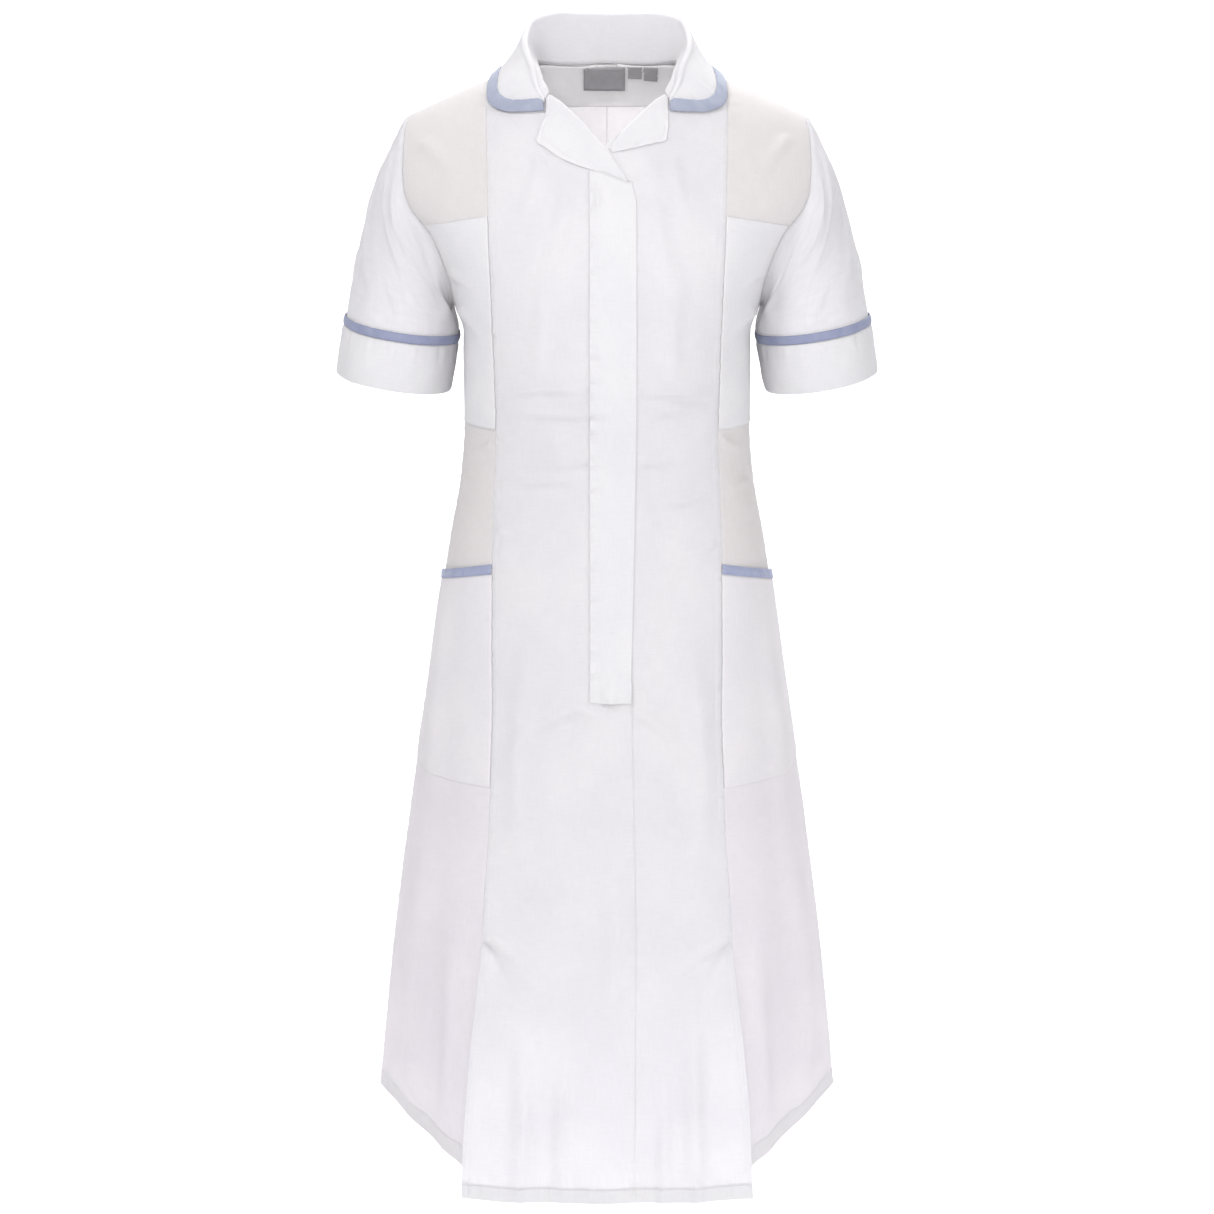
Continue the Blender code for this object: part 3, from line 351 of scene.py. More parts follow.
# On a sleeve, unrolled: x runs round it from the top and forwards, z is down it from the armhole
SLEEVE_CREASES = creases(
    (50, -12, 104, -120, 10, 7.5, 1.9, True),
    (82, -8, 128, -85, 8, 6, 2.1, True),
    (108, -6, 142, -60, 5, 5.2, 1.6, True),
    (20, -30, 48, -150, -8, 10, 1.3),
    (-28, -26, -50, -150, 8, 10.5, 1.4),
    (-60, -10, -108, -118, -10, 7.8, 1.9, True),
    (-92, -8, -134, -80, -7, 6, 2, True),
    (150, -30, 120, -105, 4, 5.5, 1.3),
    (-152, -28, -118, -100, -4, 5.5, 1.2),
    (70, -110, 92, -160, 2, 5.5, 1),
    (-20, -120, 4, -165, 2, 6, 1),
)


class Curve:
    """A smooth curve through values at rising keys, which never overshoots them."""

    def __init__(self, keys, values):
        self.keys, self.values = np.array(keys, float), np.array(values, float)
        self.steps = np.diff(self.keys)
        slopes = np.diff(self.values) / self.steps
        before, after = slopes[:-1], slopes[1:]
        same_way = before * after > 0
        total = np.where(same_way, before + after, 1.0)
        self.tangents = np.concatenate(
            [slopes[:1], np.where(same_way, 2 * before * after / total, 0.0), slopes[-1:]]
        )

    def __call__(self, at):
        at = np.clip(at, self.keys[0], self.keys[-1])
        i = np.clip(np.searchsorted(self.keys, at, side="right") - 1, 0, len(self.steps) - 1)
        t = (at - self.keys[i]) / self.steps[i]
        rise = (self.values[i + 1] - self.values[i]) * t * t * (3 - 2 * t)
        first, second = self.tangents[i] * t * (1 - t) ** 2, self.tangents[i + 1] * t * t * (1 - t)
        return self.values[i] + rise + self.steps[i] * (first - second)


def through(rows, column, key="level"):
    """The curve through a table's column."""
    return Curve([getattr(row, key) for row in rows], [getattr(row, column) for row in rows])


FRONT_DEPTH = through(RINGS, "front")
BACK_DEPTH = through(RINGS, "back")
MIDDLE = through(RINGS, "middle")
SQUARENESS = through(RINGS, "squareness")
WIDTH_BELOW = through(RINGS, "half_width")
WIDTH_ABOVE = through(ARMHOLE, "half_width")
ARMHOLE_EDGE = through(ARMHOLE, "edge")
FRONT_EDGE = through(PRINCESS, "front_edge")
SIDE_EDGE = through(PRINCESS, "side_edge")


def ease(t):
    t = np.clip(t, 0.0, 1.0)
    return t * t * (3 - 2 * t)


def unit(v):
    return v / np.maximum(np.linalg.norm(v, axis=-1, keepdims=True), 1e-12)


def steps(points, axis=0):
    """The distance from each point of a grid to the next one."""
    return np.linalg.norm(np.diff(points, axis=axis), axis=-1)


def run_along(points, axis=0):
    """The distance of each point from the first, along the points between."""
    run = np.cumsum(steps(points, axis), axis=axis)
    return np.concatenate([np.zeros_like(np.take(run, [0], axis)), run], axis=axis)


def shoulder_height(x):
    beyond = np.abs(x) - NECK_HALF_WIDTH
    return NECK_POINT_HEIGHT - SHOULDER_SLOPE * beyond - SHOULDER_ROUNDING * beyond * beyond


def lift(level):
    """0 at the armpits and below, 1 at the shoulder seams."""
    return np.clip(1.0 - np.asarray(level) / ARMPIT, 0.0, 1.0)


def level_at(x, height):
    """The level of the ring that passes a height at x."""
    share = (height - ARMPIT) / (shoulder_height(x) - ARMPIT)
    return np.where(height <= ARMPIT, height, ARMPIT * (1 - share))


def half_width(level):
    return np.where(level > ARMPIT, WIDTH_ABOVE(level), WIDTH_BELOW(level))


def turn_at_x(level, x):
    """Degrees round the ring from the front, where the ring is that far from the middle."""
    share = np.minimum(np.abs(x) / half_width(level), 1.0)
    return np.degrees(np.arcsin(share ** (SQUARENESS(level) / 2)))


def armhole_turn(level):
    """Where a side front ends: at the side seam, or at the armhole above it."""
    level = np.asarray(level, float)
    return np.where(level <= ARMPIT, 89.99, np.minimum(turn_at_x(level, ARMHOLE_EDGE(level)), 89.99))


def body_point(level, turn, side):
    """A point of the dress's outer face. Turn runs from 0 at the front to 180 at the back."""
    level, turn = np.broadcast_arrays(np.asarray(level, float), np.asarray(turn, float))
    t = np.radians(turn)
    power = 2 / SQUARENESS(level)
    front = turn < 90
    tuck = np.sqrt(np.maximum(0.0, 1 - lift(level) ** 2))
    depth = np.maximum(np.where(front, FRONT_DEPTH(level), BACK_DEPTH(level)) * tuck, 1e-5)
    width = half_width(level)
    x = width * np.abs(np.sin(t)) ** power
    y = depth * np.abs(np.cos(t)) ** power * np.where(front, -1, 1)
    share = ease((-0.45 - level) / 0.60) * ease((turn - 96.0) / 30.0)
    fold = BACK_FOLD_DEPTH * share * np.cos(np.radians((turn - 180.0) * BACK_FOLDS * 2))
    lean_x, lean_y = x / width**2, y / depth**2
    size = np.hypot(lean_x, lean_y) + 1e-9
    x, y = x + lean_x / size * fold, y + lean_y / size * fold + MIDDLE(level)
    return np.stack([side * x, y, level + lift(level) * shoulder_height(x)], axis=-1)


def outward(level, turn, side):
    """The direction out of the cloth."""
    low = np.clip(turn, 0.7, 179.3)
    across = body_point(level, low + 0.7, side) - body_point(level, low - 0.7, side)
    up = body_point(np.minimum(level + 0.0015, -1e-5), turn, side) - body_point(level - 0.0015, turn, side)
    return unit(np.cross(across, up) * side)


def free_share(level):
    """0 above the vents, rising to 1 at the hem."""
    return np.clip((VENT_TOP - level) / (VENT_TOP - FRONT_HEM), 0.0, 1.0)


def flap_point(x, level):
    """A point of a centre front, whose part between the vents hangs as a nearly flat flap."""
    right = body_point(level, turn_at_x(level, x), WEARERS_RIGHT)
    left = body_point(level, turn_at_x(level, x), WEARERS_LEFT)
    point = np.where((x < 0)[..., None], right, left)
    free = free_share(level)
    reach = x / FRONT_EDGE(level)
    flat = body_point(level, np.zeros_like(level), WEARERS_LEFT)[..., 1] + FRONT_FLAP_SWEEP * reach**2
    waves = FLAP_FOLD_DEPTH * np.cos(reach * math.pi * 3.2 + 0.6)
    point[..., 1] += (flat - point[..., 1]) * free - waves * ease(free * 1.6 - 0.6)
    return point


def hem_lift(level, turn):
    """How far a side or back panel is drawn up at this turn, less higher up the skirt."""
    share = np.where(turn < 90, ease(turn / 90), 1 - ease((turn - 90) / 70))
    down = np.clip((HEM_LIFT_FROM - level) / (HEM_LIFT_FROM - SIDE_HEM), 0, None)
    return HEM_LIFT * share * down**2


def side_point(level, share, side):
    """A point of a side front: share runs from 0 at the princess seam to 1 at the side or armhole.

    Beside a vent the cloth hangs straight from the vent's edge back to the side seam.
    """
    raised = level
    for _ in range(2):
        start = turn_at_x(raised, SIDE_EDGE(raised))
        turn = start + (armhole_turn(raised) - start) * share
        raised = level + hem_lift(level, turn)
    point = body_point(raised, turn, side)
    first, last = body_point(raised, start, side), body_point(raised, armhole_turn(raised), side)
    run = (point[..., 0] - first[..., 0]) / (last[..., 0] - first[..., 0])
    straight = first + (last - first) * run[..., None]
    return point + (straight - point) * free_share(level)[..., None]


def back_neck_x(level):
    """Half the width of the back neckline at a level, 0 below the nape."""
    nape_turn = np.degrees(np.arcsin(lift(level_at(0.0, NAPE))))
    turn = np.degrees(np.arcsin(np.clip(lift(level), 0, 1)))
    share = np.clip((90.0 - turn) / (90.0 - nape_turn), 0.0, 1.0)
    return np.where(turn <= nape_turn, 0.0, NECK_HALF_WIDTH * np.sqrt(1 - share * share))


def back_turns(level):
    """Where a back panel starts and ends: at the side or armhole, and at the centre back or neck."""
    return 180 - armhole_turn(level), 180 - turn_at_x(level, back_neck_x(level))


def back_point(level, share, side):
    raised = level
    for _ in range(2):
        start, end = back_turns(raised)
        turn = start + (end - start) * share
        raised = level + hem_lift(level, turn)
    return body_point(raised, turn, side)


def creased(creases, x, z):
    """How far the creases of a table raise the cloth at each place."""
    total = np.zeros(np.broadcast(x, z).shape)
    for c in creases:
        along_x, along_z = c.x2 - c.x1, c.z2 - c.z1
        length = math.hypot(along_x, along_z)
        dx, dz = x - c.x1, z - c.z1
        s = (dx * along_x + dz * along_z) / length**2
        across = (dz * along_x - dx * along_z) / length - c.bow * 4 * s * (1 - s)
        within = np.clip(s, 0, 1)
        if c.springs:
            fade = ease(s * 9) * (1 - within) ** 1.3
        else:
            fade = np.sin(math.pi * within) ** 0.8
        a = (across / c.half_width) ** 2
        total += c.rise * fade * np.exp(-a) * (1 - 0.7 * a)
    return total * CREASES_DEEPENED


def uneven(x, z, seed, size):
    """Slow, shallow waves, so that no cloth is perfectly even."""
    rng = np.random.default_rng(seed)
    total = np.zeros(np.broadcast(x, z).shape)
    for wavelength in (0.018, 0.027, 0.041, 0.063, 0.110):
        for _ in range(2):
            heading, phase = rng.uniform(0, 2 * math.pi, 2)
            way = x * math.cos(heading) + z * math.sin(heading)
            total += wavelength / 0.06 * np.sin(way * 2 * math.pi / wavelength + phase)
    return total * size / 2


def puckered(distance, along, seed, size=0.00028, reach=0.008):
    """Small puckers across a line of stitches, dying away beside it."""
    rng = np.random.default_rng(seed)
    wave = np.zeros(np.broadcast(distance, along).shape)
    for wavelength in (0.0078, 0.0113, 0.0171):
        wave += np.sin(along * 2 * math.pi / wavelength + rng.uniform(0, 6.28))
    return size * wave * np.exp(-((distance / reach) ** 2))


def ditch(distance):
    """The narrow valley that a seam draws in the cloth beside it."""
    return -SEAM_DITCH * np.exp(-((distance / SEAM_DITCH_WIDTH) ** 2))


def groove(distance, at, depth=0.00022):
    """The line that a row of stitches presses in."""
    return -depth * np.exp(-(((distance - at) / 0.0008) ** 2))


def dense_ends(length, spacing, first=True, last=True):
    """Shares along a length, close together near the ends that are sewn."""
    near = [0, 0.0005, 0.0011, 0.0018, 0.0026, 0.0034, 0.0042, 0.0049, 0.0056, 0.0064, 0.0075, 0.009, 0.011]
    count = max(2, round((length - near[-1] * (first + last)) / spacing))
    start = near if first else [0.0]
    end = [length - d for d in near[::-1]] if last else [length]
    middle = np.linspace(start[-1], end[0], count + 1)[1:-1]
    return np.concatenate([start, middle, end]) / length


def normals_of(points, side, ring=False):
    if ring:
        padded = np.concatenate([points[:, -1:], points, points[:, :1]], axis=1)
        across = np.gradient(padded, axis=1)[:, 1:-1]
    else:
        across = np.gradient(points, axis=1)
    return unit(np.cross(across, np.gradient(points, axis=0)) * side)


class Panel:
    """A panel's grid of points, kept so that other pieces can be laid on the cloth itself."""

    def __init__(self, levels, shares, points, side):
        self.levels, self.shares, self.points, self.side = levels, shares, points, side
        self.normals = normals_of(points, side)

    def raise_by(self, out):
        self.points = self.points + self.normals * out[..., None]
        self.normals = normals_of(self.points, self.side)

    def at(self, level, share, out=0.0):
        """The points at levels and shares of the way across, moved out of the cloth."""
        rows, columns = self.points.shape[:2]
        row = np.interp(level, self.levels, np.arange(rows))
        column = np.interp(share, self.shares, np.arange(columns))
        i = np.minimum(row.astype(int), rows - 2)
        j = np.minimum(column.astype(int), columns - 2)
        a, b = (row - i)[..., None], (column - j)[..., None]

        def blend(grid):
            low = grid[i, j] * (1 - b) + grid[i, j + 1] * b
            high = grid[i + 1, j] * (1 - b) + grid[i + 1, j + 1] * b
            return low * (1 - a) + high * a

        out = np.asarray(out, float)
        return blend(self.points) + unit(blend(self.normals)) * out[..., None]


def panel_levels(hem):
    """Levels from the hem to the shoulder seams, close together where the hem is stitched."""
    near = np.array([0, 0.0006, 0.0014, 0.0026, 0.0045, 0.007, 0.0095, 0.0112, 0.012, 0.0128, 0.0145, 0.017])
    near = np.concatenate([near, [0.0188, 0.0196, 0.0204, 0.0215, 0.0235]])
    skirt = np.linspace(hem + near[-1], ARMPIT, round((ARMPIT - hem) / 0.0034))[1:-1]
    shoulder = ARMPIT * (1 - np.sin(np.radians(np.linspace(0, 89.98, 76))))
    return np.concatenate([hem + near, skirt, shoulder])


def front_edge_x(edge, level):
    """How far from the middle a front's edge runs at a level."""
    return Curve([float(level_at(p.x, p.height)) for p in edge], [p.x for p in edge])(level)


def sheet_uv(points, ring=False):
    """Metres across and along the cloth, for the weave."""
    if ring:
        points = np.concatenate([points, points[:, :1]], axis=1)
    u, v = run_along(points[len(points) // 2]), run_along(points[:, points.shape[1] // 2])
    return np.stack(np.broadcast_arrays(u[None, :], v[:, None]), axis=-1)


def cloth(name, points, thickness, material, side=WEARERS_LEFT, ring=False, painted_shade_mask=None, doubled=0.0):
    """One piece of cloth from rows of points on its outer face, standing for the solid of that name.

    The painted shade mask is where the shade inside, showing through one layer, is painted in as a warmer colour, and
    doubled is where it lies on another layer.
    """
    uv = sheet_uv(points, ring)
    if side == WEARERS_RIGHT:
        points, uv = points[:, ::-1], uv[:, ::-1]
    rows, columns = points.shape[:2]
    number = np.arange(rows * columns).reshape(rows, columns)
    if ring:
        number = np.concatenate([number, number[:, :1]], axis=1)

    def corners(grid):
        quads = np.stack([grid[:-1, :-1], grid[:-1, 1:], grid[1:, 1:], grid[1:, :-1]], axis=2)
        return quads.reshape(-1, 4, *grid.shape[2:])

    mesh = bpy.data.meshes.new(f"{name} cloth")
    mesh.from_pydata(points.reshape(-1, 3).tolist(), [], corners(number).tolist())
    layer = mesh.uv_layers.new(name="weave")
    layer.data.foreach_set("uv", corners(uv).reshape(-1))
    marks = {"doubled": doubled} if painted_shade_mask is None else {"doubled": doubled, "single_layer": painted_shade_mask}
    for mark, values in marks.items():
        values = np.broadcast_to(np.asarray(values, float), (rows, columns))
        values = values[:, ::-1] if side == WEARERS_RIGHT else values
        mesh.attributes.new(mark, "FLOAT", "POINT").data.foreach_set("value", values.reshape(-1))
    mesh.shade_smooth()
    mesh.materials.append(material)
    piece = placed(f"{name}_cloth", mesh)
    wall = piece.modifiers.new("Cloth thickness", "SOLIDIFY")
    wall.thickness = thickness
    wall.offset = -1
    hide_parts(name)
    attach(piece, "root")
    return piece


def turned_in(points, normals, rows, gap=FOLD_GAP):
    """The grid with its first edge folded under: in round the edge, and back up inside it."""
    radius = gap / 2
    down = unit(points[0] - points[1])
    centre = points[0] - normals[0] * radius
    fold = [
        centre + (normals[0] * math.cos(t) + down * math.sin(t)) * radius
        for t in np.radians((150, 120, 90, 60, 30))
    ]
    inside = points[rows:0:-1] - normals[rows:0:-1] * gap
    return np.concatenate([inside, np.array(fold), points])


def hem_doubled(turned, levels, top):
    """1 on a hem's turned rows and on the cloth over them, 0 above."""
    rows = np.concatenate([np.ones(len(turned) - len(levels)), np.where(levels <= top, 1.0, 0.0)])
    return rows[:, None]


def placed(name, data):
    """A new object of the scene."""
    made = bpy.data.objects.new(name, data)
    bpy.context.scene.collection.objects.link(made)
    return made


class Stitches:
    """Threads of one colour, gathered from many rows and made into one mesh."""

    def __init__(self):
        self.points, self.faces = [], []

    def row(self, path, normals, length=0.0027, gap=0.0007, width=0.00042, raised=0.00016):
        """A row of stitches along points of the cloth's face."""
        path, normals = np.asarray(path, float), np.asarray(normals, float)
        run = run_along(path)
        starts = np.arange(gap / 2, run[-1] - length, length + gap)

        def on_path(at, values):
            return np.stack([np.interp(at, run, values[:, k]) for k in range(3)], axis=-1)

        a, b = on_path(starts, path), on_path(starts + length, path)
        middle = on_path(starts + length / 2, path)
        normal = unit(on_path(starts + length / 2, normals))
        sideways = unit(np.cross(b - a, normal)) * width / 2
        points = np.stack(
            [a, b, middle + sideways + normal * raised * 0.3, middle - sideways + normal * raised * 0.3,
             middle + normal * raised, middle - normal * raised], axis=1
        )
        base = len(self.points) * 6
        self.points.extend(points)
        for k in range(len(starts)):
            n = base + k * 6
            for x, y in ((2, 4), (4, 3), (3, 5), (5, 2)):
                self.faces.append((n, n + x, n + y))
                self.faces.append((n + 1, n + y, n + x))

    def make(self, name, material):
        mesh = bpy.data.meshes.new(name)
        mesh.from_pydata(np.array(self.points).reshape(-1, 3).tolist(), [], self.faces)
        mesh.shade_smooth()
        mesh.materials.append(material)
        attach(placed(name, mesh), "root")


white_thread = Stitches()
blue_thread = Stitches()


STITCH_RISES = 0.001


def stitch(lay, first, second, out=0.0, thread=white_thread, rises=STITCH_RISES):
    """A row of stitches at the places that lay gives on the cloth, so far out of it."""
    path = lay(first, second, out)
    thread.row(path, lay(first, second, out + rises) - path)


def finish_panel(name, panel, level, out, hem_top, material, painted_shade_mask=None):
    """Raise a panel's creases and seams, all but at the shoulder seam, turn its hem up and make it."""
    fade_at_shoulder = 1 - ease((level + SHOULDER_FADE) / SHOULDER_FADE)
    panel.raise_by((out + groove(level, hem_top)) * fade_at_shoulder)
    folded = turned_in(panel.points, panel.normals, int(np.searchsorted(panel.levels, hem_top + 0.001)))
    # The painted shade of one-layer cloth is kept off the hem's turned-under rows
    if painted_shade_mask is not None:
        painted_shade_mask = np.concatenate([np.zeros((len(folded) - len(painted_shade_mask), painted_shade_mask.shape[1])), painted_shade_mask])
    doubled = hem_doubled(folded, panel.levels, hem_top)
    cloth(name, folded, CLOTH, material, panel.side, painted_shade_mask=painted_shade_mask, doubled=doubled)


# Materials


LIGHT_THROUGH = 0.50
LIGHT_THROUGH_DOUBLED = 0.37


def to_linear(colour):
    """A colour written as six sRGB hex digits, in linear light."""
    parts = [int(colour[i:i + 2], 16) / 255 for i in (0, 2, 4)]
    return tuple(p / 12.92 if p <= 0.04045 else ((p + 0.055) / 1.055) ** 2.4 for p in parts)


def start_material(name, slot):
    material = bpy.data.materials.new(name)
    material.use_nodes = True
    material["slot"] = slot
    return material, material.node_tree.nodes["Principled BSDF"]


def feed(material, made, **links):
    """Give a node's inputs a socket or a constant each, by name or as in0, in1 and so on."""
    for key, value in links.items():
        socket = made.inputs[int(key[2:]) if key.startswith("in") else key.replace("_", " ")]
        if isinstance(value, bpy.types.NodeSocket):
            material.node_tree.links.new(value, socket)
        elif socket.type == "RGBA":
            socket.default_value = (*value, 1)
        else:
            socket.default_value = value
    return made


def node(material, kind, settings=None, **links):
    """Add a node with its settings and links."""
    made = material.node_tree.nodes.new(kind)
    for key, value in (settings or {}).items():
        setattr(made, key, value)
    return feed(material, made, **links)


def math_node(material, operation, *values):
    links = {f"in{i}": value for i, value in enumerate(values)}
    return node(material, "ShaderNodeMath", {"operation": operation}, **links).outputs[0]


def scaled_uv(material, across, along):
    """The cloth's own coordinates, with one unit every so many metres."""
    uv = node(material, "ShaderNodeUVMap", {"uv_map": "weave"}).outputs["UV"]
    mapping = node(material, "ShaderNodeMapping", in0=uv, in3=(1 / across, 1 / along, 1.0))
    return mapping.outputs[0]


def noise(material, across, along, detail=2.0):
    made = node(
        material, "ShaderNodeTexNoise", {"noise_dimensions": "2D"},
        Vector=scaled_uv(material, across, along), Scale=1.0, Detail=detail,
    )
    return made.outputs["Fac"]


def weave_height(material, pitch):
    """A plain weave: threads one way stand up in every other square, threads the other way between."""
    parts = node(material, "ShaderNodeSeparateXYZ", in0=scaled_uv(material, pitch, pitch))
    ridges = [
        math_node(material, "ABSOLUTE", math_node(material, "SINE", math_node(material, "MULTIPLY", parts.outputs[k], math.pi)))
        for k in (0, 1)
    ]
    squares = node(
        material, "ShaderNodeTexChecker", Vector=scaled_uv(material, pitch, pitch), Scale=1.0
    ).outputs["Fac"]
    return node(material, "ShaderNodeMix", in0=squares, in2=ridges[0], in3=ridges[1]).outputs[0]


def mix_colour(material, share, first, second):
    settings = {"data_type": "RGBA"}
    return node(material, "ShaderNodeMix", settings, in0=share, in6=first, in7=second).outputs[2]


def spread(material, value, low, high, to_low, to_high):
    return node(
        material, "ShaderNodeMapRange", in0=value, in1=low, in2=high, in3=to_low, in4=to_high
    ).outputs[0]


def bumped(material, layers):
    """Bumps one on another, each a height from 0 to 1 and its depth in metres."""
    normal = None
    for height, depth in layers:
        links = {"Strength": 1.0, "Distance": depth, "Height": height}
        if normal:
            links["Normal"] = normal
        normal = node(material, "ShaderNodeBump", **links).outputs[0]
    return normal


def let_light_through(material, shader, colour):
    """Thin cloth passes half of the light that falls on it to its other side, and less the more it is doubled."""
    doubled = node(material, "ShaderNodeAttribute", {"attribute_name": "doubled"}).outputs["Fac"]
    share = node(
        material, "ShaderNodeMapRange", {"clamp": False},
        in0=doubled, in1=0.0, in2=1.0, in3=LIGHT_THROUGH, in4=LIGHT_THROUGH_DOUBLED,
    ).outputs[0]
    through = node(material, "ShaderNodeBsdfTranslucent", Color=colour)
    both = node(
        material, "ShaderNodeMixShader", in0=share, in1=shader.outputs["BSDF"], in2=through.outputs["BSDF"]
    )
    output = material.node_tree.nodes["Material Output"]
    material.node_tree.links.new(both.outputs[0], output.inputs["Surface"])


# White polyester and cotton poplin: a plain weave of fine threads, slightly slubbed, pressed flat.
# Where the cloth is one layer thick, the shade inside that shows through is painted into its colour as a warmer tone.
def poplin(name, colour, shaded, painted_shade_colour=None):
    material, shader = start_material(name, "white_cloth")
    slow = noise(material, 0.055, 0.080, 3.0)
    slub = noise(material, 0.0009, 0.0160)
    cross_slub = noise(material, 0.0140, 0.0008)
    base = mix_colour(material, spread(material, slow, 0.35, 0.65, 0.0, 1.0), to_linear(shaded), to_linear(colour))
    # Painted shade: a warmer colour mixed in where one layer lets the shade inside show through
    if painted_shade_colour:
        single = node(material, "ShaderNodeAttribute", {"attribute_name": "single_layer"}).outputs["Fac"]
        base = mix_colour(material, single, base, to_linear(painted_shade_colour))
    threads = math_node(material, "ADD", slub, cross_slub)
    base = mix_colour(
        material, spread(material, threads, 0.75, 1.25, 0.0, 0.10), base, to_linear("CBC9CB")
    )
    rough = spread(material, slow, 0.3, 0.7, 0.78, 0.90)
    pressed = noise(material, 0.0120, 0.0160, 3.0)
    crumple = noise(material, 0.0350, 0.0480, 4.0)
    normal = bumped(
        material,
        (
            (crumple, 0.0012),
            (pressed, 0.00030),
            (math_node(material, "MULTIPLY", threads, 0.5), 0.00006),
            (weave_height(material, 0.00042), 0.000025),
        ),
    )
    feed(
        material, shader, Base_Color=base, Roughness=rough, Normal=normal,
        Sheen_Weight=0.12, Sheen_Roughness=0.45, Specular_IOR_Level=0.30,
    )
    let_light_through(material, shader, base)
    return material


# Blue contrast binding: the same poplin, dyed, cut on the bias so that its ribs run aslant
def binding(name, colour, worn):
    material, shader = start_material(name, "blue_trim")
    slow = noise(material, 0.012, 0.018, 3.0)
    base = mix_colour(material, spread(material, slow, 0.3, 0.7, 0.0, 1.0), to_linear(colour), to_linear(worn))
    ribs = node(
        material, "ShaderNodeTexWave", {"wave_type": "BANDS", "bands_direction": "DIAGONAL"},
        Vector=scaled_uv(material, 0.0016, 0.0016), Scale=0.6, Distortion=0.6, Detail=1.0,
    ).outputs["Fac"]
    dark = [c * 0.86 for c in to_linear(colour)]
    base = mix_colour(material, spread(material, ribs, 0.0, 1.0, 0.0, 0.35), base, dark)
    normal = bumped(material, ((noise(material, 0.006, 0.005, 3.0), 0.0003), (ribs, 0.00006)))
    feed(material, shader, Base_Color=base, Normal=normal, Roughness=0.78, Sheen_Weight=0.15, Sheen_Roughness=0.4)
    return material


# Grey satin label tape, woven across in fine ribs
def label_tape(name):
    material, shader = start_material(name, "label_tape")
    slow = noise(material, 0.006, 0.009, 3.0)
    base = mix_colour(material, slow, to_linear("98969A"), to_linear("A6A4A8"))
    normal = bumped(material, ((noise(material, 0.010, 0.014), 0.0003), (weave_height(material, 0.00035), 0.00003)))
    feed(material, shader, Base_Color=base, Normal=normal, Roughness=0.42, Sheen_Weight=0.10)
    return material


# Spun polyester sewing thread
def sewing_thread(name, colour, slot):
    material, shader = start_material(name, slot)
    feed(material, shader, Base_Color=to_linear(colour), Roughness=0.55, Sheen_Weight=0.2)
    return material


cool_poplin = poplin("White poplin, double", "F7F6F8", "F4F3F6")
# The last colour is painted shade, for where one layer lets the shade inside show through
side_poplin = poplin("White poplin, single", "F8F5F8", "F5F2F6", "F4F1F1")
back_poplin = poplin("White poplin, back", "F7F5F6", "F4F2F3")
# One blue binding in three copies whose colours differ only by painted light and shade: lightest on the collar, darker
# on the pockets and darkest on the sleeves
collar_blue_painted_light = binding("Blue binding, collar", "979CAF", "A2A8B8")
sleeve_blue_painted_shade = binding("Blue binding, sleeves", "8389A4", "8E93AC")
pocket_blue_painted_shade = binding("Blue binding, pockets", "9197B2", "9EA4BC")
grey_tape = label_tape("Grey satin label tape")
thread_white = sewing_thread("White sewing thread", "F1F0F4", "white_cloth")
thread_blue = sewing_thread("Blue sewing thread", "8F9CC4", "blue_trim")


# Centre fronts


def centre_front(name, edge, side):
    """From the closing edge and roll line out to the princess seam."""
    levels = panel_levels(FRONT_HEM)
    mean = 0.112 if side == WEARERS_LEFT else 0.132
    shares = dense_ends(mean, 0.0034)
    level, share = np.meshgrid(levels, shares, indexing="ij")
    start = front_edge_x(edge, level)
    end = side * FRONT_EDGE(level)
    panel = Panel(levels, shares, flap_point(start + (end - start) * share, level), side)
    x, z = panel.points[..., 0], panel.points[..., 2]
    out = creased(FRONT_CREASES, x, z) * FRONT_DEEPENED + uneven(x, z, 11, 0.00022)
    princess = np.abs(end - x)
    closing = np.abs(x - start)
    sewn = ease((level - VENT_TOP) / 0.012)
    out += (ditch(princess) + puckered(princess, z, 21)) * sewn
    out += groove(princess, 0.0018) + groove(princess, 0.0058)
    below_fly = ease((FLY_END - level) / 0.01)
    out += (ditch(closing) + puckered(closing, z, 22)) * below_fly
    out += puckered(level - FRONT_HEM_TOP, x, 23, 0.00030, 0.010)
    finish_panel(name, panel, level, out, FRONT_HEM_TOP, cool_poplin)
    run = levels[(levels > FRONT_HEM + 0.003) & (levels < -0.008)]
    for inset in (0.0018, 0.0058):
        wide = np.abs(side * FRONT_EDGE(run) - front_edge_x(edge, run))
        stitch(panel.at, run, 1 - inset / wide)
    across = np.linspace(0.02, 0.985, 60)
    stitch(panel.at, FRONT_HEM_TOP, across)
    below = levels[(levels > FRONT_HEM + 0.003) & (levels < FLY_END - 0.02)]
    if side == WEARERS_RIGHT:
        stitch(panel.at, below, 0.0022 / mean)
    for _ in range(3):
        stitch(panel.at, VENT_TOP, np.array([1 - 0.012 / mean, 1 - 0.001 / mean]))
    return panel


right_front = centre_front("front_right", CLOSING + RIGHT_ROLL, WEARERS_RIGHT)
left_front = centre_front("front_left", CLOSING + LEFT_ROLL, WEARERS_LEFT)


def on_fronts(x, height, out):
    """Points laid on whichever centre front is under them."""
    x, height = np.broadcast_arrays(np.asarray(x, float), np.asarray(height, float))
    level = level_at(x, height)
    found = []
    for panel, edge in ((right_front, CLOSING + RIGHT_ROLL), (left_front, CLOSING + LEFT_ROLL)):
        start = front_edge_x(edge, level)
        end = panel.side * FRONT_EDGE(level)
        found.append(panel.at(level, np.clip((x - start) / (end - start), 0, 1), out))
    over_right = x < front_edge_x(CLOSING + RIGHT_ROLL, level)
    return np.where(over_right[..., None], found[0], found[1])


# Fly: a folded placket, stitched down its right edge, with its other edge and its end free


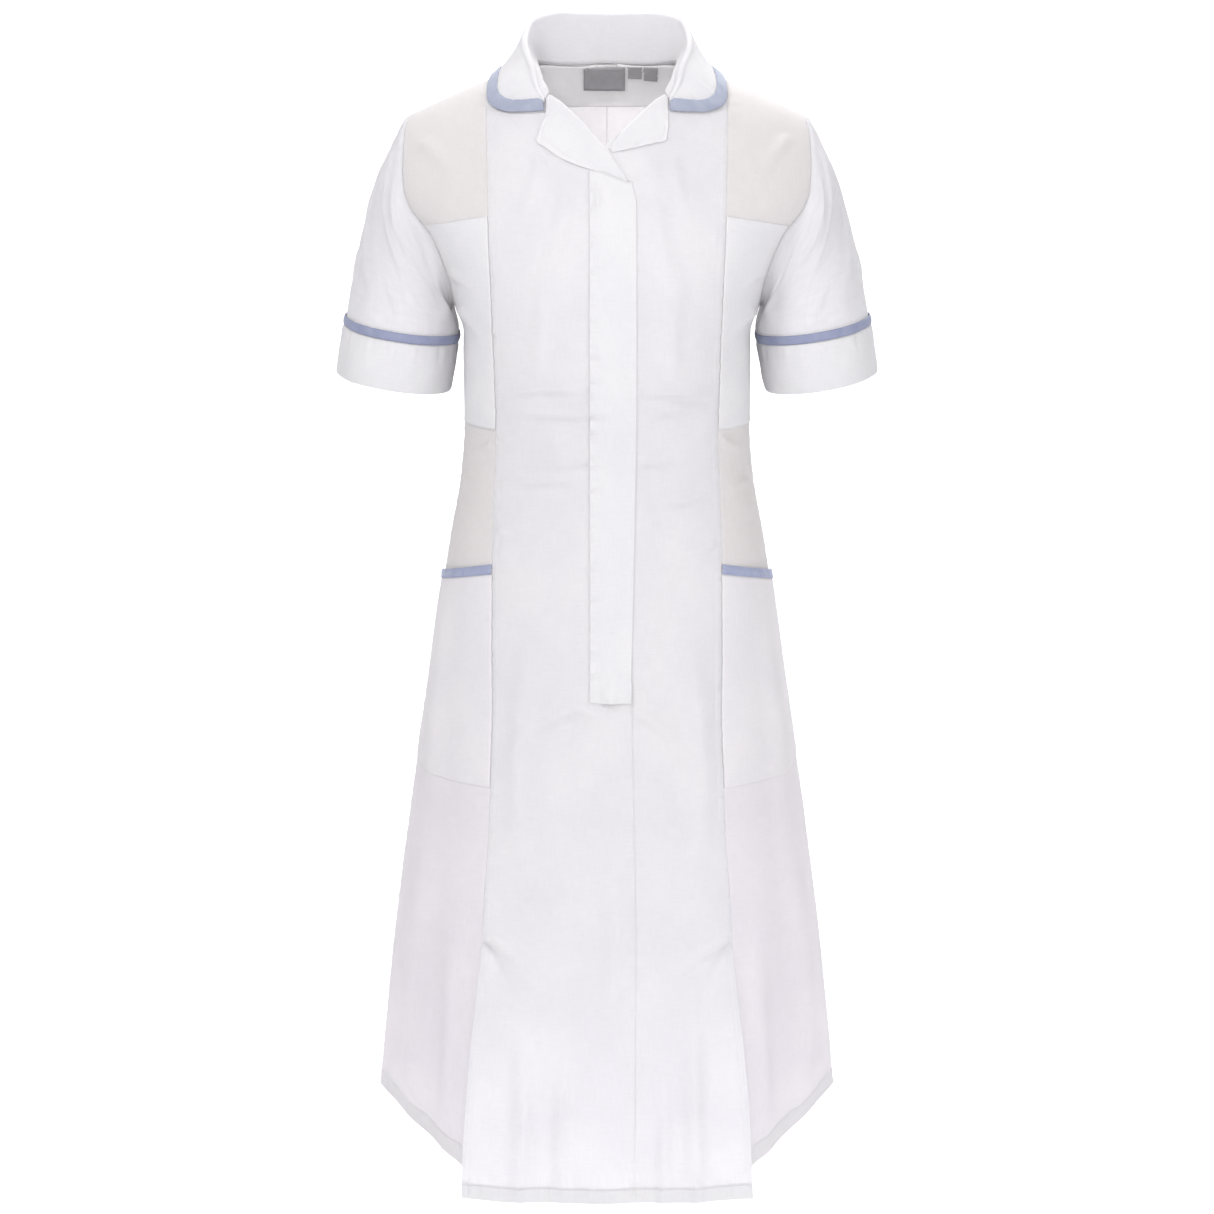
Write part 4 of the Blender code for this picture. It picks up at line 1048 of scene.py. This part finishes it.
def fly():
    across = dense_ends(0.040, 0.0022, last=False)
    down = np.concatenate([[0, 0.0008, 0.002, 0.004], np.linspace(0.0065, 0.470, 150)])
    lapel_x = [r.edge_x for r in RIGHT_LAPEL[6:]]
    lapel_height = [r.edge_height for r in RIGHT_LAPEL[6:]]
    free = through(FLY_FREE_EDGE, "x", "height")
    top_x = FLY_STITCHED_EDGE + (FLY_FREE_EDGE[-1].x - FLY_STITCHED_EDGE) * across
    top = np.interp(top_x, lapel_x, lapel_height) + 0.0015
    share = (down / down[-1])[:, None]
    height = FLY_END + (top[None, :] - FLY_END) * share
    x = FLY_STITCHED_EDGE + (free(height) - FLY_STITCHED_EDGE) * across[None, :]
    fromend = height - FLY_END
    lifted = 0.0034 * ease(1 - fromend / 0.035) * (0.6 + 0.5 * np.sin(x * 260 + 1.0)) * ease(across * 2)[None, :]
    bow = 0.0010 * np.sin(math.pi * ease(across))[None, :]
    out = LAYER_GAP + 2 * CLOTH + lifted + bow + puckered(x - FLY_STITCHED_EDGE - 0.001, height, 31, 0.0006)
    points = on_fronts(x, height, out)
    normals = normals_of(points, WEARERS_LEFT)
    turned = turned_in(points, normals, 8, 0.0011)
    sideways = np.swapaxes(turned, 0, 1)[::-1]
    under = np.repeat(normals[:1], len(turned) - len(points), axis=0)
    sideways_normals = np.swapaxes(np.concatenate([under, normals]), 0, 1)[::-1]
    folded = turned_in(sideways, sideways_normals, 5, 0.0011)
    cloth("fly", np.swapaxes(folded[::-1], 0, 1), CLOTH, cool_poplin, doubled=1.0)
    run = np.linspace(FLY_END + 0.002, -0.092, 220)
    stitch(on_fronts, FLY_STITCHED_EDGE + 0.0012, run, 2 * CLOTH + LAYER_GAP + 0.0003)
    for below in (0.004, 0.008):
        stitch(on_fronts, np.linspace(FLY_STITCHED_EDGE, 0.018, 12), FLY_END - below, 0.0001)


fly()


# Lapels: each wraps the front's edge at the roll line and lies turned back on the front


def lapel(name, rungs, side):
    """A lapel from the table of its rungs: across runs from 0 at the roll line to 1 at its edge."""
    key = np.linspace(0, len(rungs) - 1, 90)

    def rung(column):
        return Curve(range(len(rungs)), [getattr(r, column) for r in rungs])(key)[:, None]

    def lerp(across):
        x = rung("roll_x") + (rung("edge_x") - rung("roll_x")) * across
        height = rung("roll_height") + (rung("edge_height") - rung("roll_height")) * across
        return x, height

    across = dense_ends(0.030, 0.0022, first=False)[None, :]
    x, height = lerp(across)
    wide = np.hypot(rung("edge_x") - rung("roll_x"), rung("edge_height") - rung("roll_height"))
    puff = 0.0022 * np.exp(-across * wide / 0.009) * ease(wide / 0.02)
    inset = (1 - across) * wide
    out = LAYER_GAP + CLOTH * 2 + puff + groove(inset, 0.0042) + puckered(inset, key[:, None] * 0.009, 41, 0.0002)
    points = on_fronts(x, height, out + 0 * x)
    normals = normals_of(points, WEARERS_LEFT)
    outward_way = unit(points[:, 0] - points[:, 3])
    radius = ((out + 0 * x)[:, :1] + 0.0012) / 2
    roll = []
    for t in np.radians((160, 130, 100, 70, 40, 15)):
        centre = points[:, 0] - normals_up(name, points, side) * radius
        roll.append(centre + normals_up(name, points, side) * radius * math.cos(t) + outward_way * radius * math.sin(t))
    inner_x, inner_height = lerp(np.array([[0.30, 0.15, 0.05]]))
    inner = on_fronts(inner_x, inner_height, np.full(inner_x.shape, -0.0012))
    whole = np.concatenate([inner, np.stack(roll, axis=1), points], axis=1)
    cloth(name, whole[::-1], CLOTH, cool_poplin, side, doubled=1.0)
    x, height = (place[4:-4, 0] for place in lerp(0.84))
    stitch(on_fronts, x, height, LAYER_GAP + CLOTH * 2 + 0.0002)


def normals_up(name, points, side):
    """The way out of the front under a lapel's roll."""
    across = points[:, 3] - points[:, 0]
    along = np.gradient(points[:, 0], axis=0)
    normal = unit(np.cross(across, along))
    return np.where(normal[:, 1:2] > 0, -normal, normal)


lapel("lapel_right", RIGHT_LAPEL, WEARERS_RIGHT)
lapel("lapel_left", LEFT_LAPEL, WEARERS_LEFT)


# Side fronts, with the breast and hip pockets on them


def side_front(name, side):
    levels = panel_levels(SIDE_HEM)
    mean = 0.085
    shares = dense_ends(mean, 0.0034)
    level, share = np.meshgrid(levels, shares, indexing="ij")
    panel = Panel(levels, shares, side_point(level, share, side), side)
    x, z = panel.points[..., 0], panel.points[..., 2]
    wide = steps(panel.points, 1).sum(axis=1)[:, None]
    princess, outer = share * wide, (1 - share) * wide
    settle = 1 - np.exp(-((outer / 0.010) ** 2))
    out = (creased(FRONT_CREASES, x, z) * FRONT_DEEPENED + uneven(x, z, 11, 0.00022)) * settle
    sewn = ease((level - VENT_TOP) / 0.012)
    out += (ditch(princess) + puckered(princess, z, 52)) * sewn + groove(princess, 0.0075) * (1 - sewn)
    out += ditch(outer) + puckered(outer, z, 53 + side, 0.0002) * ease((ARMPIT - level) / 0.02)
    out += puckered(level - SIDE_HEM_TOP, x, 54, 0.0003, 0.012)
    # Painted shade above the pocket bags, where one layer lets the shade inside show through
    painted_shade_mask = ease((level - PAINTED_SHADE_ABOVE) / 0.02) + 0 * share
    finish_panel(name, panel, level, out, SIDE_HEM_TOP, side_poplin, painted_shade_mask)
    across = np.linspace(0.02, 0.98, 60)
    stitch(panel.at, SIDE_HEM_TOP, across)
    edge = levels[(levels > SIDE_HEM + 0.004) & (levels < VENT_TOP)]
    stitch(panel.at, edge, 0.0075 / 0.1)
    return panel


def hip_mouth(share):
    return HIP_POCKET_MOUTH - HIP_POCKET_SLANT * share


def hip_stand_off(share, below):
    """The mouth stands off the side panel towards the side seam, and settles lower down."""
    return LAYER_GAP + CLOTH + HIP_MOUTH_STANDS_OFF * ease(share * 1.6) * (1 - ease(below / 0.11))


def hip_pocket(word, panel, side):
    share = dense_ends(0.085, 0.003)[None, :] * 0.992 + 0.004
    f = np.concatenate([[0, 0.004, 0.010, 0.02], np.linspace(0.04, 1, 60)])[:, None]
    top = hip_mouth(share) - HIP_TRIM + 0.0004
    level = HIP_POCKET_BOTTOM + (top - HIP_POCKET_BOTTOM) * f
    out = hip_stand_off(share, hip_mouth(share) - level)
    out = out - 0.0006 * np.exp(-f / 0.006)
    points = panel.at(level, share + 0 * f, out)
    cloth(f"hip_pocket_{word}", points, CLOTH, side_poplin, side, doubled=1.0)
    run = np.linspace(0.02, 0.98, 40)
    stitch(panel.at, HIP_POCKET_BOTTOM + 0.003, run, CLOTH + LAYER_GAP)


def hip_trim(word, panel, side):
    """The contrast binding, folded over the pocket's mouth."""
    share = dense_ends(0.085, 0.0024)[None, :] * 0.992 + 0.004
    f = np.linspace(0, 1, 9)[:, None]
    level = hip_mouth(share) - HIP_TRIM * (1 - f)
    out = hip_stand_off(share, hip_mouth(share) - level) + 0.0004 + 0.0006 * np.sin(math.pi * f)
    points = panel.at(level, share + 0 * f, out)
    upside = points[::-1]
    folded = turned_in(upside, normals_of(upside, -side), 4, 0.0014)[::-1]
    cloth(f"hip_pocket_trim_{word}", folded, TRIM_CLOTH, pocket_blue_painted_shade, side)
    run = np.linspace(0.01, 0.99, 50)
    for inset in (0.0011, HIP_TRIM - 0.0013):
        stitch(panel.at, hip_mouth(run) - inset, run, hip_stand_off(run, inset) + 0.0009, blue_thread)


def breast_pocket(word, panel, side):
    f = np.concatenate([np.linspace(0, 0.93, 56), [0.945, 0.955, 0.965, 0.98, 0.99, 1.0]])[:, None]
    level = BREAST_POCKET_BOTTOM + (BREAST_POCKET_MOUTH - BREAST_POCKET_BOTTOM) * f
    last = BREAST_POCKET_FOOT + (BREAST_POCKET_SHOULDER - BREAST_POCKET_FOOT) * ease(f)
    share = 0.004 + (last - 0.004) * dense_ends(0.060, 0.003)[None, :]
    level = level + 0 * share
    out = LAYER_GAP + CLOTH + groove(BREAST_POCKET_MOUTH - level, 0.012)
    points = panel.at(level, share, out)
    upside = points[::-1]
    folded = turned_in(upside, normals_of(upside, -side), 6, 0.0011)[::-1]
    cloth(f"breast_pocket_{word}", folded, CLOTH, cool_poplin, side, doubled=1.0)
    run = np.linspace(0.03, 0.95, 40)
    stitch(panel.at, BREAST_POCKET_MOUTH - 0.012, run, LAYER_GAP + CLOTH)
    stitch(panel.at, BREAST_POCKET_BOTTOM + 0.002, run * 0.9, LAYER_GAP + CLOTH)


for word, side in SIDES:
    side_panel = side_front(f"side_front_{word}", side)
    for make in (hip_pocket, hip_trim, breast_pocket):
        make(word, side_panel, side)


# Backs


def back(name, side):
    levels = panel_levels(SIDE_HEM)
    shares = dense_ends(0.200, 0.0036)
    level, share = np.meshgrid(levels, shares, indexing="ij")
    panel = Panel(levels, shares, back_point(level, share, side), side)
    x, z = panel.points[..., 0], panel.points[..., 2]
    wide = steps(panel.points, 1).sum(axis=1)[:, None]
    outer, middle = share * wide, (1 - share) * wide
    settle = 1 - np.exp(-((outer / 0.010) ** 2))
    out = (creased(BACK_CREASES, x, z) + uneven(x, z, 61, 0.00030)) * settle
    sewn = 1 - ease((level - level_at(0.0, NAPE) + 0.01) / 0.01)
    out += (ditch(middle) + puckered(middle, z, 62)) * sewn
    out += ditch(outer) + puckered(outer, z, 53 + side, 0.0002) * ease((ARMPIT - level) / 0.02)
    out += puckered(level - SIDE_HEM_TOP, x, 64, 0.0003, 0.012)
    finish_panel(name, panel, level, out, SIDE_HEM_TOP, back_poplin)
    across = np.linspace(0.01, 0.99, 90)
    stitch(panel.at, SIDE_HEM_TOP, across)
    nape = float(level_at(0.0, NAPE))
    run = levels[(levels > SIDE_HEM + 0.004) & (levels < nape - 0.004)]
    stitch(panel.at, run, 1 - 0.0030 / 0.200)
    return panel


back_panels = {side: back(f"back_{word}", side) for word, side in SIDES}


def on_backs(x, height, out):
    """Points laid on whichever back is behind them."""
    x, height = np.broadcast_arrays(np.asarray(x, float), np.asarray(height, float))
    level = level_at(x, height)
    start, end = back_turns(level)
    share = np.clip((180 - turn_at_x(level, x) - start) / (end - start), 0, 1)
    right = back_panels[WEARERS_RIGHT].at(level, share, out)
    left = back_panels[WEARERS_LEFT].at(level, share, out)
    return np.where((x < 0)[..., None], right, left)


def back_neck_facing():
    f = np.concatenate([[0, 0.02, 0.05, 0.08, 0.12], np.linspace(0.18, 1, 12)])[:, None]
    x = (np.linspace(0, 1, 90)[None, :] * 2 - 1) * FACING_HALF_WIDTH
    shoulder_share = np.minimum(np.abs(x) / NECK_HALF_WIDTH, 1.0)
    nape_drop = NAPE + (NECK_POINT_HEIGHT - NAPE) * shoulder_share**2
    top = np.minimum(nape_drop, shoulder_height(x)) - FACING_BELOW_SEAM
    height = FACING_BOTTOM + (top - FACING_BOTTOM) * f
    points = on_backs(x + 0 * f, height, np.full(height.shape, -FACING_INSIDE))
    cloth("back_neck_facing", points[:, ::-1], CLOTH, back_poplin, doubled=3.6)
    for up in (0.002, 0.0085):
        stitch(on_backs, np.linspace(-0.070, 0.070, 60), FACING_BOTTOM + up, -FACING_INSIDE, rises=-STITCH_RISES)


back_neck_facing()


def label(spec):
    across = np.linspace(-0.5, 0.5, 14)[None, :]
    f = np.linspace(0, 1, 10)[:, None]
    x = spec.x + spec.width * across + 0 * f
    height = LABEL_TOP - spec.drop * (1 - f) + 0 * x
    curl = 0.0007 * (1 - f) ** 2 * (0.6 + across)
    points = on_backs(x, height, -LABEL_INSIDE - curl)
    cloth(spec.name, points[:, ::-1], CLOTH, grey_tape)
    stitch(on_backs, x[-2], height[-2], -LABEL_INSIDE, rises=-STITCH_RISES)


for spec in LABELS:
    label(spec)


# Sleeves


def shoulder_turns():
    return np.degrees(np.arcsin(1 - np.linspace(1, 0, 46) ** 1.7)) * 0.99985


def armhole_ring(side):
    """The armhole's edge, from the shoulder down the front, under the arm and up the back.

    Each place is a point, the direction out of the cloth, and the direction on across the hole.
    """
    levels = ARMPIT * (1 - np.sin(np.radians(shoulder_turns())))
    turns = armhole_turn(levels)
    front, rear = body_point(levels, turns, side), body_point(levels, 180 - turns, side)
    front_out, rear_out = outward(levels, turns, side), outward(levels, 180 - turns, side)
    top, bottom = (front[-1] + rear[-1]) / 2, (front[0] + rear[0]) / 2
    top_out, bottom_out = (front_out[-1] + rear_out[-1]) / 2, (front_out[0] + rear_out[0]) / 2
    points = np.concatenate([top[None], front[-2:0:-1], bottom[None], rear[1:-1]])
    normals = unit(np.concatenate([top_out[None], front_out[-2:0:-1], bottom_out[None], rear_out[1:-1]]))
    along = np.roll(points, -1, axis=0) - np.roll(points, 1, axis=0)
    across = unit(np.cross(along, normals))
    to_middle = points.mean(axis=0) - points
    across = np.where((across * to_middle).sum(axis=1, keepdims=True) < 0, -across, across)
    return points, normals, across


def sleeve_angles():
    """Degrees round the sleeve for each point of the armhole: 0 on top, 90 in front, 180 below."""
    front = 2 * (90 - shoulder_turns())
    return np.concatenate([[0.0], front[-2:0:-1], [180.0], 360 - front[1:-1]])


def sleeve_hem_point(angle, side, above=0.0, out=0.0):
    """A point of the sleeve's hem, or that far above it along the sleeve."""
    a, above, out = np.broadcast_arrays(np.radians(angle), above, out)
    x = SLEEVE_HEM_CENTRE[0] + (SLEEVE_HEM_HALF_WIDTH + out) * np.cos(a)
    y = SLEEVE_HEM_CENTRE[1] - (SLEEVE_HEM_HALF_DEPTH + out) * np.sin(a)
    z = SLEEVE_HEM_CENTRE[2] + SLEEVE_HEM_OUTER_LIFT * np.cos(a) - SLEEVE_HEM_FRONT_DROP * np.sin(a)
    point = np.stack([x, y, z], axis=-1) - np.array(SLEEVE_DIRECTION) * above[..., None]
    return point * np.array([side, 1, 1])


def sleeve_field(angle, down):
    """Creases of a sleeve: round is measured from the top, forwards."""
    round_it = np.where(angle > 180, angle - 360, angle) / 360 * SLEEVE_GIRTH
    return creased(SLEEVE_CREASES, round_it, -down)


def cuff_waves(angle, side):
    """The cuff is not a perfect oval: it waves a little all round."""
    a = np.radians(angle)
    return 0.0007 * np.sin(3 * a + 0.5 + side) + 0.0004 * np.sin(7 * a + 1.3)


def sleeve(word, side):
    points, normals, across = armhole_ring(side)
    angle = sleeve_angles()
    a = np.radians(angle)[:, None]
    standing = math.pi / 4 * (1 - np.cos(a))
    leave = across * np.cos(standing) + normals * np.sin(standing)
    arrive = unit(np.array(SLEEVE_DIRECTION) * np.array([side, 1, 1]))
    straight = CUFF_DEPTH + CUFF_TRIM + 0.002
    end = sleeve_hem_point(angle, side, straight)
    start = points + leave * ARMHOLE_SEAM_ALLOWANCE
    onwards = unit(leave * 0.66 + arrive)
    reach = np.linalg.norm(end - start, axis=1, keepdims=True) * 0.32
    p1, p2 = start + onwards * reach, end - arrive * reach
    rows = [points, points + leave * 0.0006, points + leave * 0.0014, points + leave * 0.0024]
    for t in np.linspace(0, 1, 52):
        rows.append((1 - t) ** 3 * start + 3 * t * (1 - t) ** 2 * p1 + 3 * t * t * (1 - t) * p2 + t**3 * end)
    rows += [sleeve_hem_point(angle, side, straight * (1 - f) + 0.002 * f) for f in np.linspace(0, 1, 14)[1:]]
    grid = np.array(rows)
    out_way = normals_of(grid, side, ring=True)
    down = run_along(grid)
    rest = down[-1] - down
    ends = ease(down / 0.02) * ease((rest - straight + 0.004) / 0.03)
    out = (sleeve_field(angle[None, :], down) + uneven(angle[None, :] / 360 * 0.34, down, 71 + side, 0.0003)) * ends
    over_top = np.clip(np.cos(np.radians(angle)) + 0.25, 0, 1)[None, :]
    out += puckered(down - 0.001, angle[None, :] / 360 * 0.42, 72, 0.00050, 0.014) * over_top
    out += ditch(down) + groove(down, 0.0042, 0.0002)
    out += cuff_waves(angle, side)[None, :] * ease(down / 0.12)
    grid = grid + out_way * out[..., None]
    cloth(f"sleeve_{word}", grid, CLOTH, cool_poplin, side, ring=True)


def cuff_rings(side, heights, outs):
    angle = np.linspace(0, 360, 121)[:-1]
    waves = cuff_waves(angle, side)
    return np.array([sleeve_hem_point(angle, side, h, o + waves) for h, o in zip(heights, outs)]), angle


def cuff(word, side):
    heights = np.concatenate([[0, 0.0008, 0.002, 0.004], np.linspace(0.007, CUFF_DEPTH - 0.0003, 18)])
    outs = SLEEVE_CLEARS + CLOTH + 0.0012 * np.sin(math.pi * np.clip(heights / CUFF_DEPTH, 0, 1)) ** 0.7
    grid, angle = cuff_rings(side, heights, outs)
    normals = normals_of(grid, -side, ring=True)
    gathers = puckered(CUFF_DEPTH - heights[:, None], angle[None, :] / 360 * 0.35, 81 + side, 0.00055, 0.013)
    gathers = gathers * (0.15 + 0.85 * ease((CUFF_DEPTH - heights[:, None]) / 0.005))
    soft = uneven(angle[None, :] / 360 * 0.35, heights[:, None], 83 + side, 0.00035)
    grid = grid + normals * (gathers + soft)[..., None]
    folded = turned_in(grid, normals, 9, 0.0024)
    cloth(f"cuff_{word}", folded, CLOTH, cool_poplin, -side, ring=True, doubled=0.7)


def cuff_trim(word, side):
    f = np.linspace(0, 1, 9)
    heights = CUFF_DEPTH + CUFF_TRIM * f
    outs = SLEEVE_CLEARS + TRIM_CLOTH + 0.0009 * np.sin(math.pi * f) + 0.0004
    grid, angle = cuff_rings(side, heights, outs)
    cloth(f"cuff_trim_{word}", grid, TRIM_CLOTH, sleeve_blue_painted_shade, -side, ring=True)
    for height in (CUFF_DEPTH + 0.0012, CUFF_DEPTH + CUFF_TRIM - 0.0012):
        face = SLEEVE_CLEARS + TRIM_CLOTH + 0.0008
        row, near = (cuff_rings(side, [height], [out])[0][0] for out in (face, face + STITCH_RISES))
        blue_thread.row(row, near - row)


for word, side in SIDES:
    for make in (sleeve, cuff, cuff_trim):
        make(word, side)


# Collar


def collar_edge(station):
    """The point over the dress where the collar's outer edge lies."""
    x, faces = station.edge_x, station.faces
    if faces == "top":
        return np.array([x, 0.0, float(shoulder_height(x)) + COLLAR_CLEARANCE])
    level = level_at(x, station.edge_height)
    turn = turn_at_x(level, x)
    turn = turn if faces == "front" else 180 - turn
    return body_point(level, turn, WEARERS_LEFT) + outward(level, turn, WEARERS_LEFT) * COLLAR_CLEARANCE


def neck_seam(share):
    """A point of the neck seam: share runs from 0 at the nape to 1 at the collar's front end."""
    if share < SHOULDER_STATION:
        nape_turn = math.asin(float(lift(level_at(0.0, NAPE))))
        round_share = math.sqrt(1 - (share / SHOULDER_STATION) ** 2)
        turn = nape_turn + (math.pi / 2 - nape_turn) * (1 - round_share)
        level = ARMPIT * (1 - math.sin(min(turn, math.pi / 2 - 1e-4)))
        return body_point(level, 180 - turn_at_x(level, back_neck_x(level)), WEARERS_LEFT)
    f = (share - SHOULDER_STATION) / (1 - SHOULDER_STATION)
    height = NECK_POINT_HEIGHT + (COLLAR_END_HEIGHT - NECK_POINT_HEIGHT) * f
    x = np.interp(height, [p.height for p in LEFT_ROLL[3:]], [p.x for p in LEFT_ROLL[3:]])
    level = min(float(level_at(x, height)), -1e-5)
    return body_point(level, turn_at_x(level, x), WEARERS_LEFT)


NAPE_FLATTENED = 0.75
NAPE_FLATTENED_WITHIN = 0.050
LOWEST_NECK_SEAM = 0.0066


def smoothed(line, reach):
    """A line of points with its kinks rounded off; its ends stay."""
    offsets = np.arange(-3 * reach, 3 * reach + 1)
    weights = np.exp(-((offsets / reach) ** 2))
    padded = np.concatenate([np.repeat(line[:1], 3 * reach, axis=0), line, np.repeat(line[-1:], 3 * reach, axis=0)])
    rounded = sum(w * padded[i:i + len(line)] for i, w in enumerate(weights)) / weights.sum()
    near_end = np.minimum(1.0, np.arange(len(line))[::-1] / (2 * reach))
    return line + (rounded - line) * near_end[:, None]


def collar_sections(count):
    """Rows of points across half of the collar, white and trim, from the centre back to the end."""
    numbers = range(len(COLLAR))
    rolls = [Curve(numbers, column) for column in zip(*((s.roll_x, s.roll_y, s.roll_z) for s in COLLAR))]
    edges = [Curve(numbers, column) for column in zip(*map(collar_edge, COLLAR))]
    bows = Curve(numbers, [s.bow for s in COLLAR])
    up = np.array([0, 0, 1.0])
    white, trim = [], []
    for f in np.linspace(0, 1, count + 1):
        key = f * (len(COLLAR) - 1)
        roll, edge = (np.array([float(curve(key)) for curve in curves]) for curves in (rolls, edges))
        radius = COLLAR_ROLL + (COLLAR_ROLL_AT_END - COLLAR_ROLL) * float(ease((f - 0.4) / 0.6))
        raised = STAND_RAISED * float(ease((f - SHOULDER_STATION) / 0.3))
        out = edge - roll
        out[2] = 0
        out = unit(out)
        foot = neck_seam(f) - out * 0.0022 + up * 0.0004 + raised
        nearness = max(0.0, 1 - (foot[0] / NAPE_FLATTENED_WITHIN) ** 2)
        foot[2] -= nearness * NAPE_FLATTENED * max(foot[2] - LOWEST_NECK_SEAM, 0.0)
        centre = roll - up * radius
        over = [centre + (up * math.sin(t) - out * math.cos(t)) * radius for t in np.radians(np.linspace(0, 180, 13))]
        fall = edge - over[-1]
        length = float(np.linalg.norm(fall))
        trim_start = max(1 - COLLAR_TRIM / length, 0.10)
        lean = unit(np.cross(fall, np.cross(up, fall))) * float(bows(key))
        stand = [foot + (over[0] - foot) * s for s in np.linspace(0, 1, 12)[:-1]]

        def at(share):
            return over[-1] + fall * share + lean * math.sin(math.pi * share)

        white.append([*stand, *over, *[at(s) for s in np.linspace(0, trim_start + 0.001 / length, 16)[1:]]])
        trim.append([at(s) for s in np.linspace(trim_start, 1.0, 10)])
    return np.array(white), np.array(trim)


def both_halves(half):
    mirrored = half[1:][::-1] * np.array([-1, 1, 1])
    return np.concatenate([mirrored, half])


def collar():
    half_white, half_trim = collar_sections(96)
    white, trim = both_halves(half_white), both_halves(half_trim)
    shift = smoothed(trim[:, 0], 4) - trim[:, 0]
    fading = np.linspace(0, 1, 9) ** 2
    white[:, -9:] += shift[:, None] * fading[None, :, None]
    trim += shift[:, None] * np.linspace(1, 0, trim.shape[1])[None, :, None]
    along = run_along(trim[:, -1])[:, None]
    normals = normals_of(white, -1)
    across = np.linspace(0, 1, white.shape[1])[None, :]
    soft = uneven(along, across * 0.07, 91, 0.0003) * np.sin(math.pi * across)
    near_trim = puckered((1 - across) * 0.035, along, 92, 0.0002, 0.006)
    white = white + normals * (soft + near_trim)[..., None]
    cloth("collar", white, 0.0011, cool_poplin, WEARERS_RIGHT, doubled=0.6)
    white_thread.row(white[:, 1], normals[:, 1])
    trim_normals = normals_of(trim, -1)
    f = np.linspace(0, 1, trim.shape[1])[None, :]
    rounded = 0.0007 + 0.0005 * np.sin(math.pi * f) ** 0.6 + puckered(f * 0.0115, along, 93, 0.00012)
    trim = trim + trim_normals * rounded[..., None]
    swapped, swapped_normals = np.swapaxes(trim, 0, 1)[::-1], np.swapaxes(trim_normals, 0, 1)[::-1]
    folded = np.swapaxes(turned_in(swapped, swapped_normals, 6, 0.0022)[::-1], 0, 1)
    cloth("collar_trim", folded, TRIM_CLOTH, collar_blue_painted_light, WEARERS_RIGHT)
    for column in (1, trim.shape[1] - 2):
        blue_thread.row(trim[:, column], trim_normals[:, column])


collar()

white_thread.make("white_stitching", thread_white)
blue_thread.make("blue_stitching", thread_blue)


# Stage: a pale sweep of floor and wall, soft light from the front, from both sides and through the cloth
# from behind, and the camera

FLOOR = -1.36
profile = [(-4.0, FLOOR)]
profile += [(2.2 + 1.6 * math.sin(t), FLOOR + 1.6 * (1 - math.cos(t))) for t in np.linspace(0, math.pi / 2, 24)]
profile.append((3.8, 4.5))
sweep_mesh = bpy.data.meshes.new("Floor sweep")
sweep_points = [(x, y, z) for y, z in profile for x in (-6.0, 6.0)]
sweep_faces = [(2 * i, 2 * i + 1, 2 * i + 3, 2 * i + 2) for i in range(len(profile) - 1)]
sweep_mesh.from_pydata(sweep_points, [], sweep_faces)
sweep_mesh.shade_smooth()
sweep = placed("floor_sweep", sweep_mesh)
# Matt white painted studio floor
paint = bpy.data.materials.new("White studio paint")
paint.use_nodes = True
paint_shader = paint.node_tree.nodes["Principled BSDF"]
feed(paint, paint_shader, Base_Color=to_linear("FAFAFB"), Roughness=0.9, Specular_IOR_Level=0.0)
sweep_mesh.materials.append(paint)

world = bpy.data.worlds.new("Studio")
bpy.context.scene.world = world
world.use_nodes = True
background = world.node_tree.nodes["Background"]
background.inputs["Color"].default_value = (1.0, 1.0, 1.0, 1)
background.inputs["Strength"].default_value = 0.485

Light = namedtuple("Light", "name place aim size power")
LIGHTS = (
    Light("front", (-0.15, -3.0, 0.5), (0.0, 0.0, -0.3), 0.9, 33.0),
    Light("key", (-1.4, -1.8, 2.1), (0.0, 0.0, -0.3), 0.7, 37.0),
    Light("fill", (2.4, -2.1, 0.5), (0.0, 0.0, -0.45), 1.6, 24.0),
    Light("rear", (0.7, 2.3, 1.8), (0.0, 0.0, -0.2), 1.0, 52.0),
    Light("backdrop", (0.0, 1.6, 2.6), (0.0, 3.4, 0.2), 3.0, 126.0),
)
for spec in LIGHTS:
    lamp = bpy.data.lights.new(spec.name, "AREA")
    lamp.size = spec.size
    lamp.energy = spec.power
    holder = placed(spec.name, lamp)
    holder.location = spec.place
    towards = np.array(spec.aim) - np.array(spec.place)
    flat = math.hypot(towards[0], towards[1])
    holder.rotation_euler = (math.atan2(flat, -towards[2]), 0.0, math.atan2(towards[1], towards[0]) - math.pi / 2)

camera_data = bpy.data.cameras.new("Camera")
camera_data.lens = 85.13
camera_data.sensor_width = 36
camera = placed("Camera", camera_data)
camera.location = (0.0, -2.70, 0.04)
camera.rotation_euler = (math.radians(90 - 11.4), 0.0, 0.0)
bpy.context.scene.camera = camera
bpy.context.scene.view_settings.view_transform = "Standard"
bpy.context.scene.cycles.max_bounces = 4
bpy.context.scene.cycles.use_light_tree = False
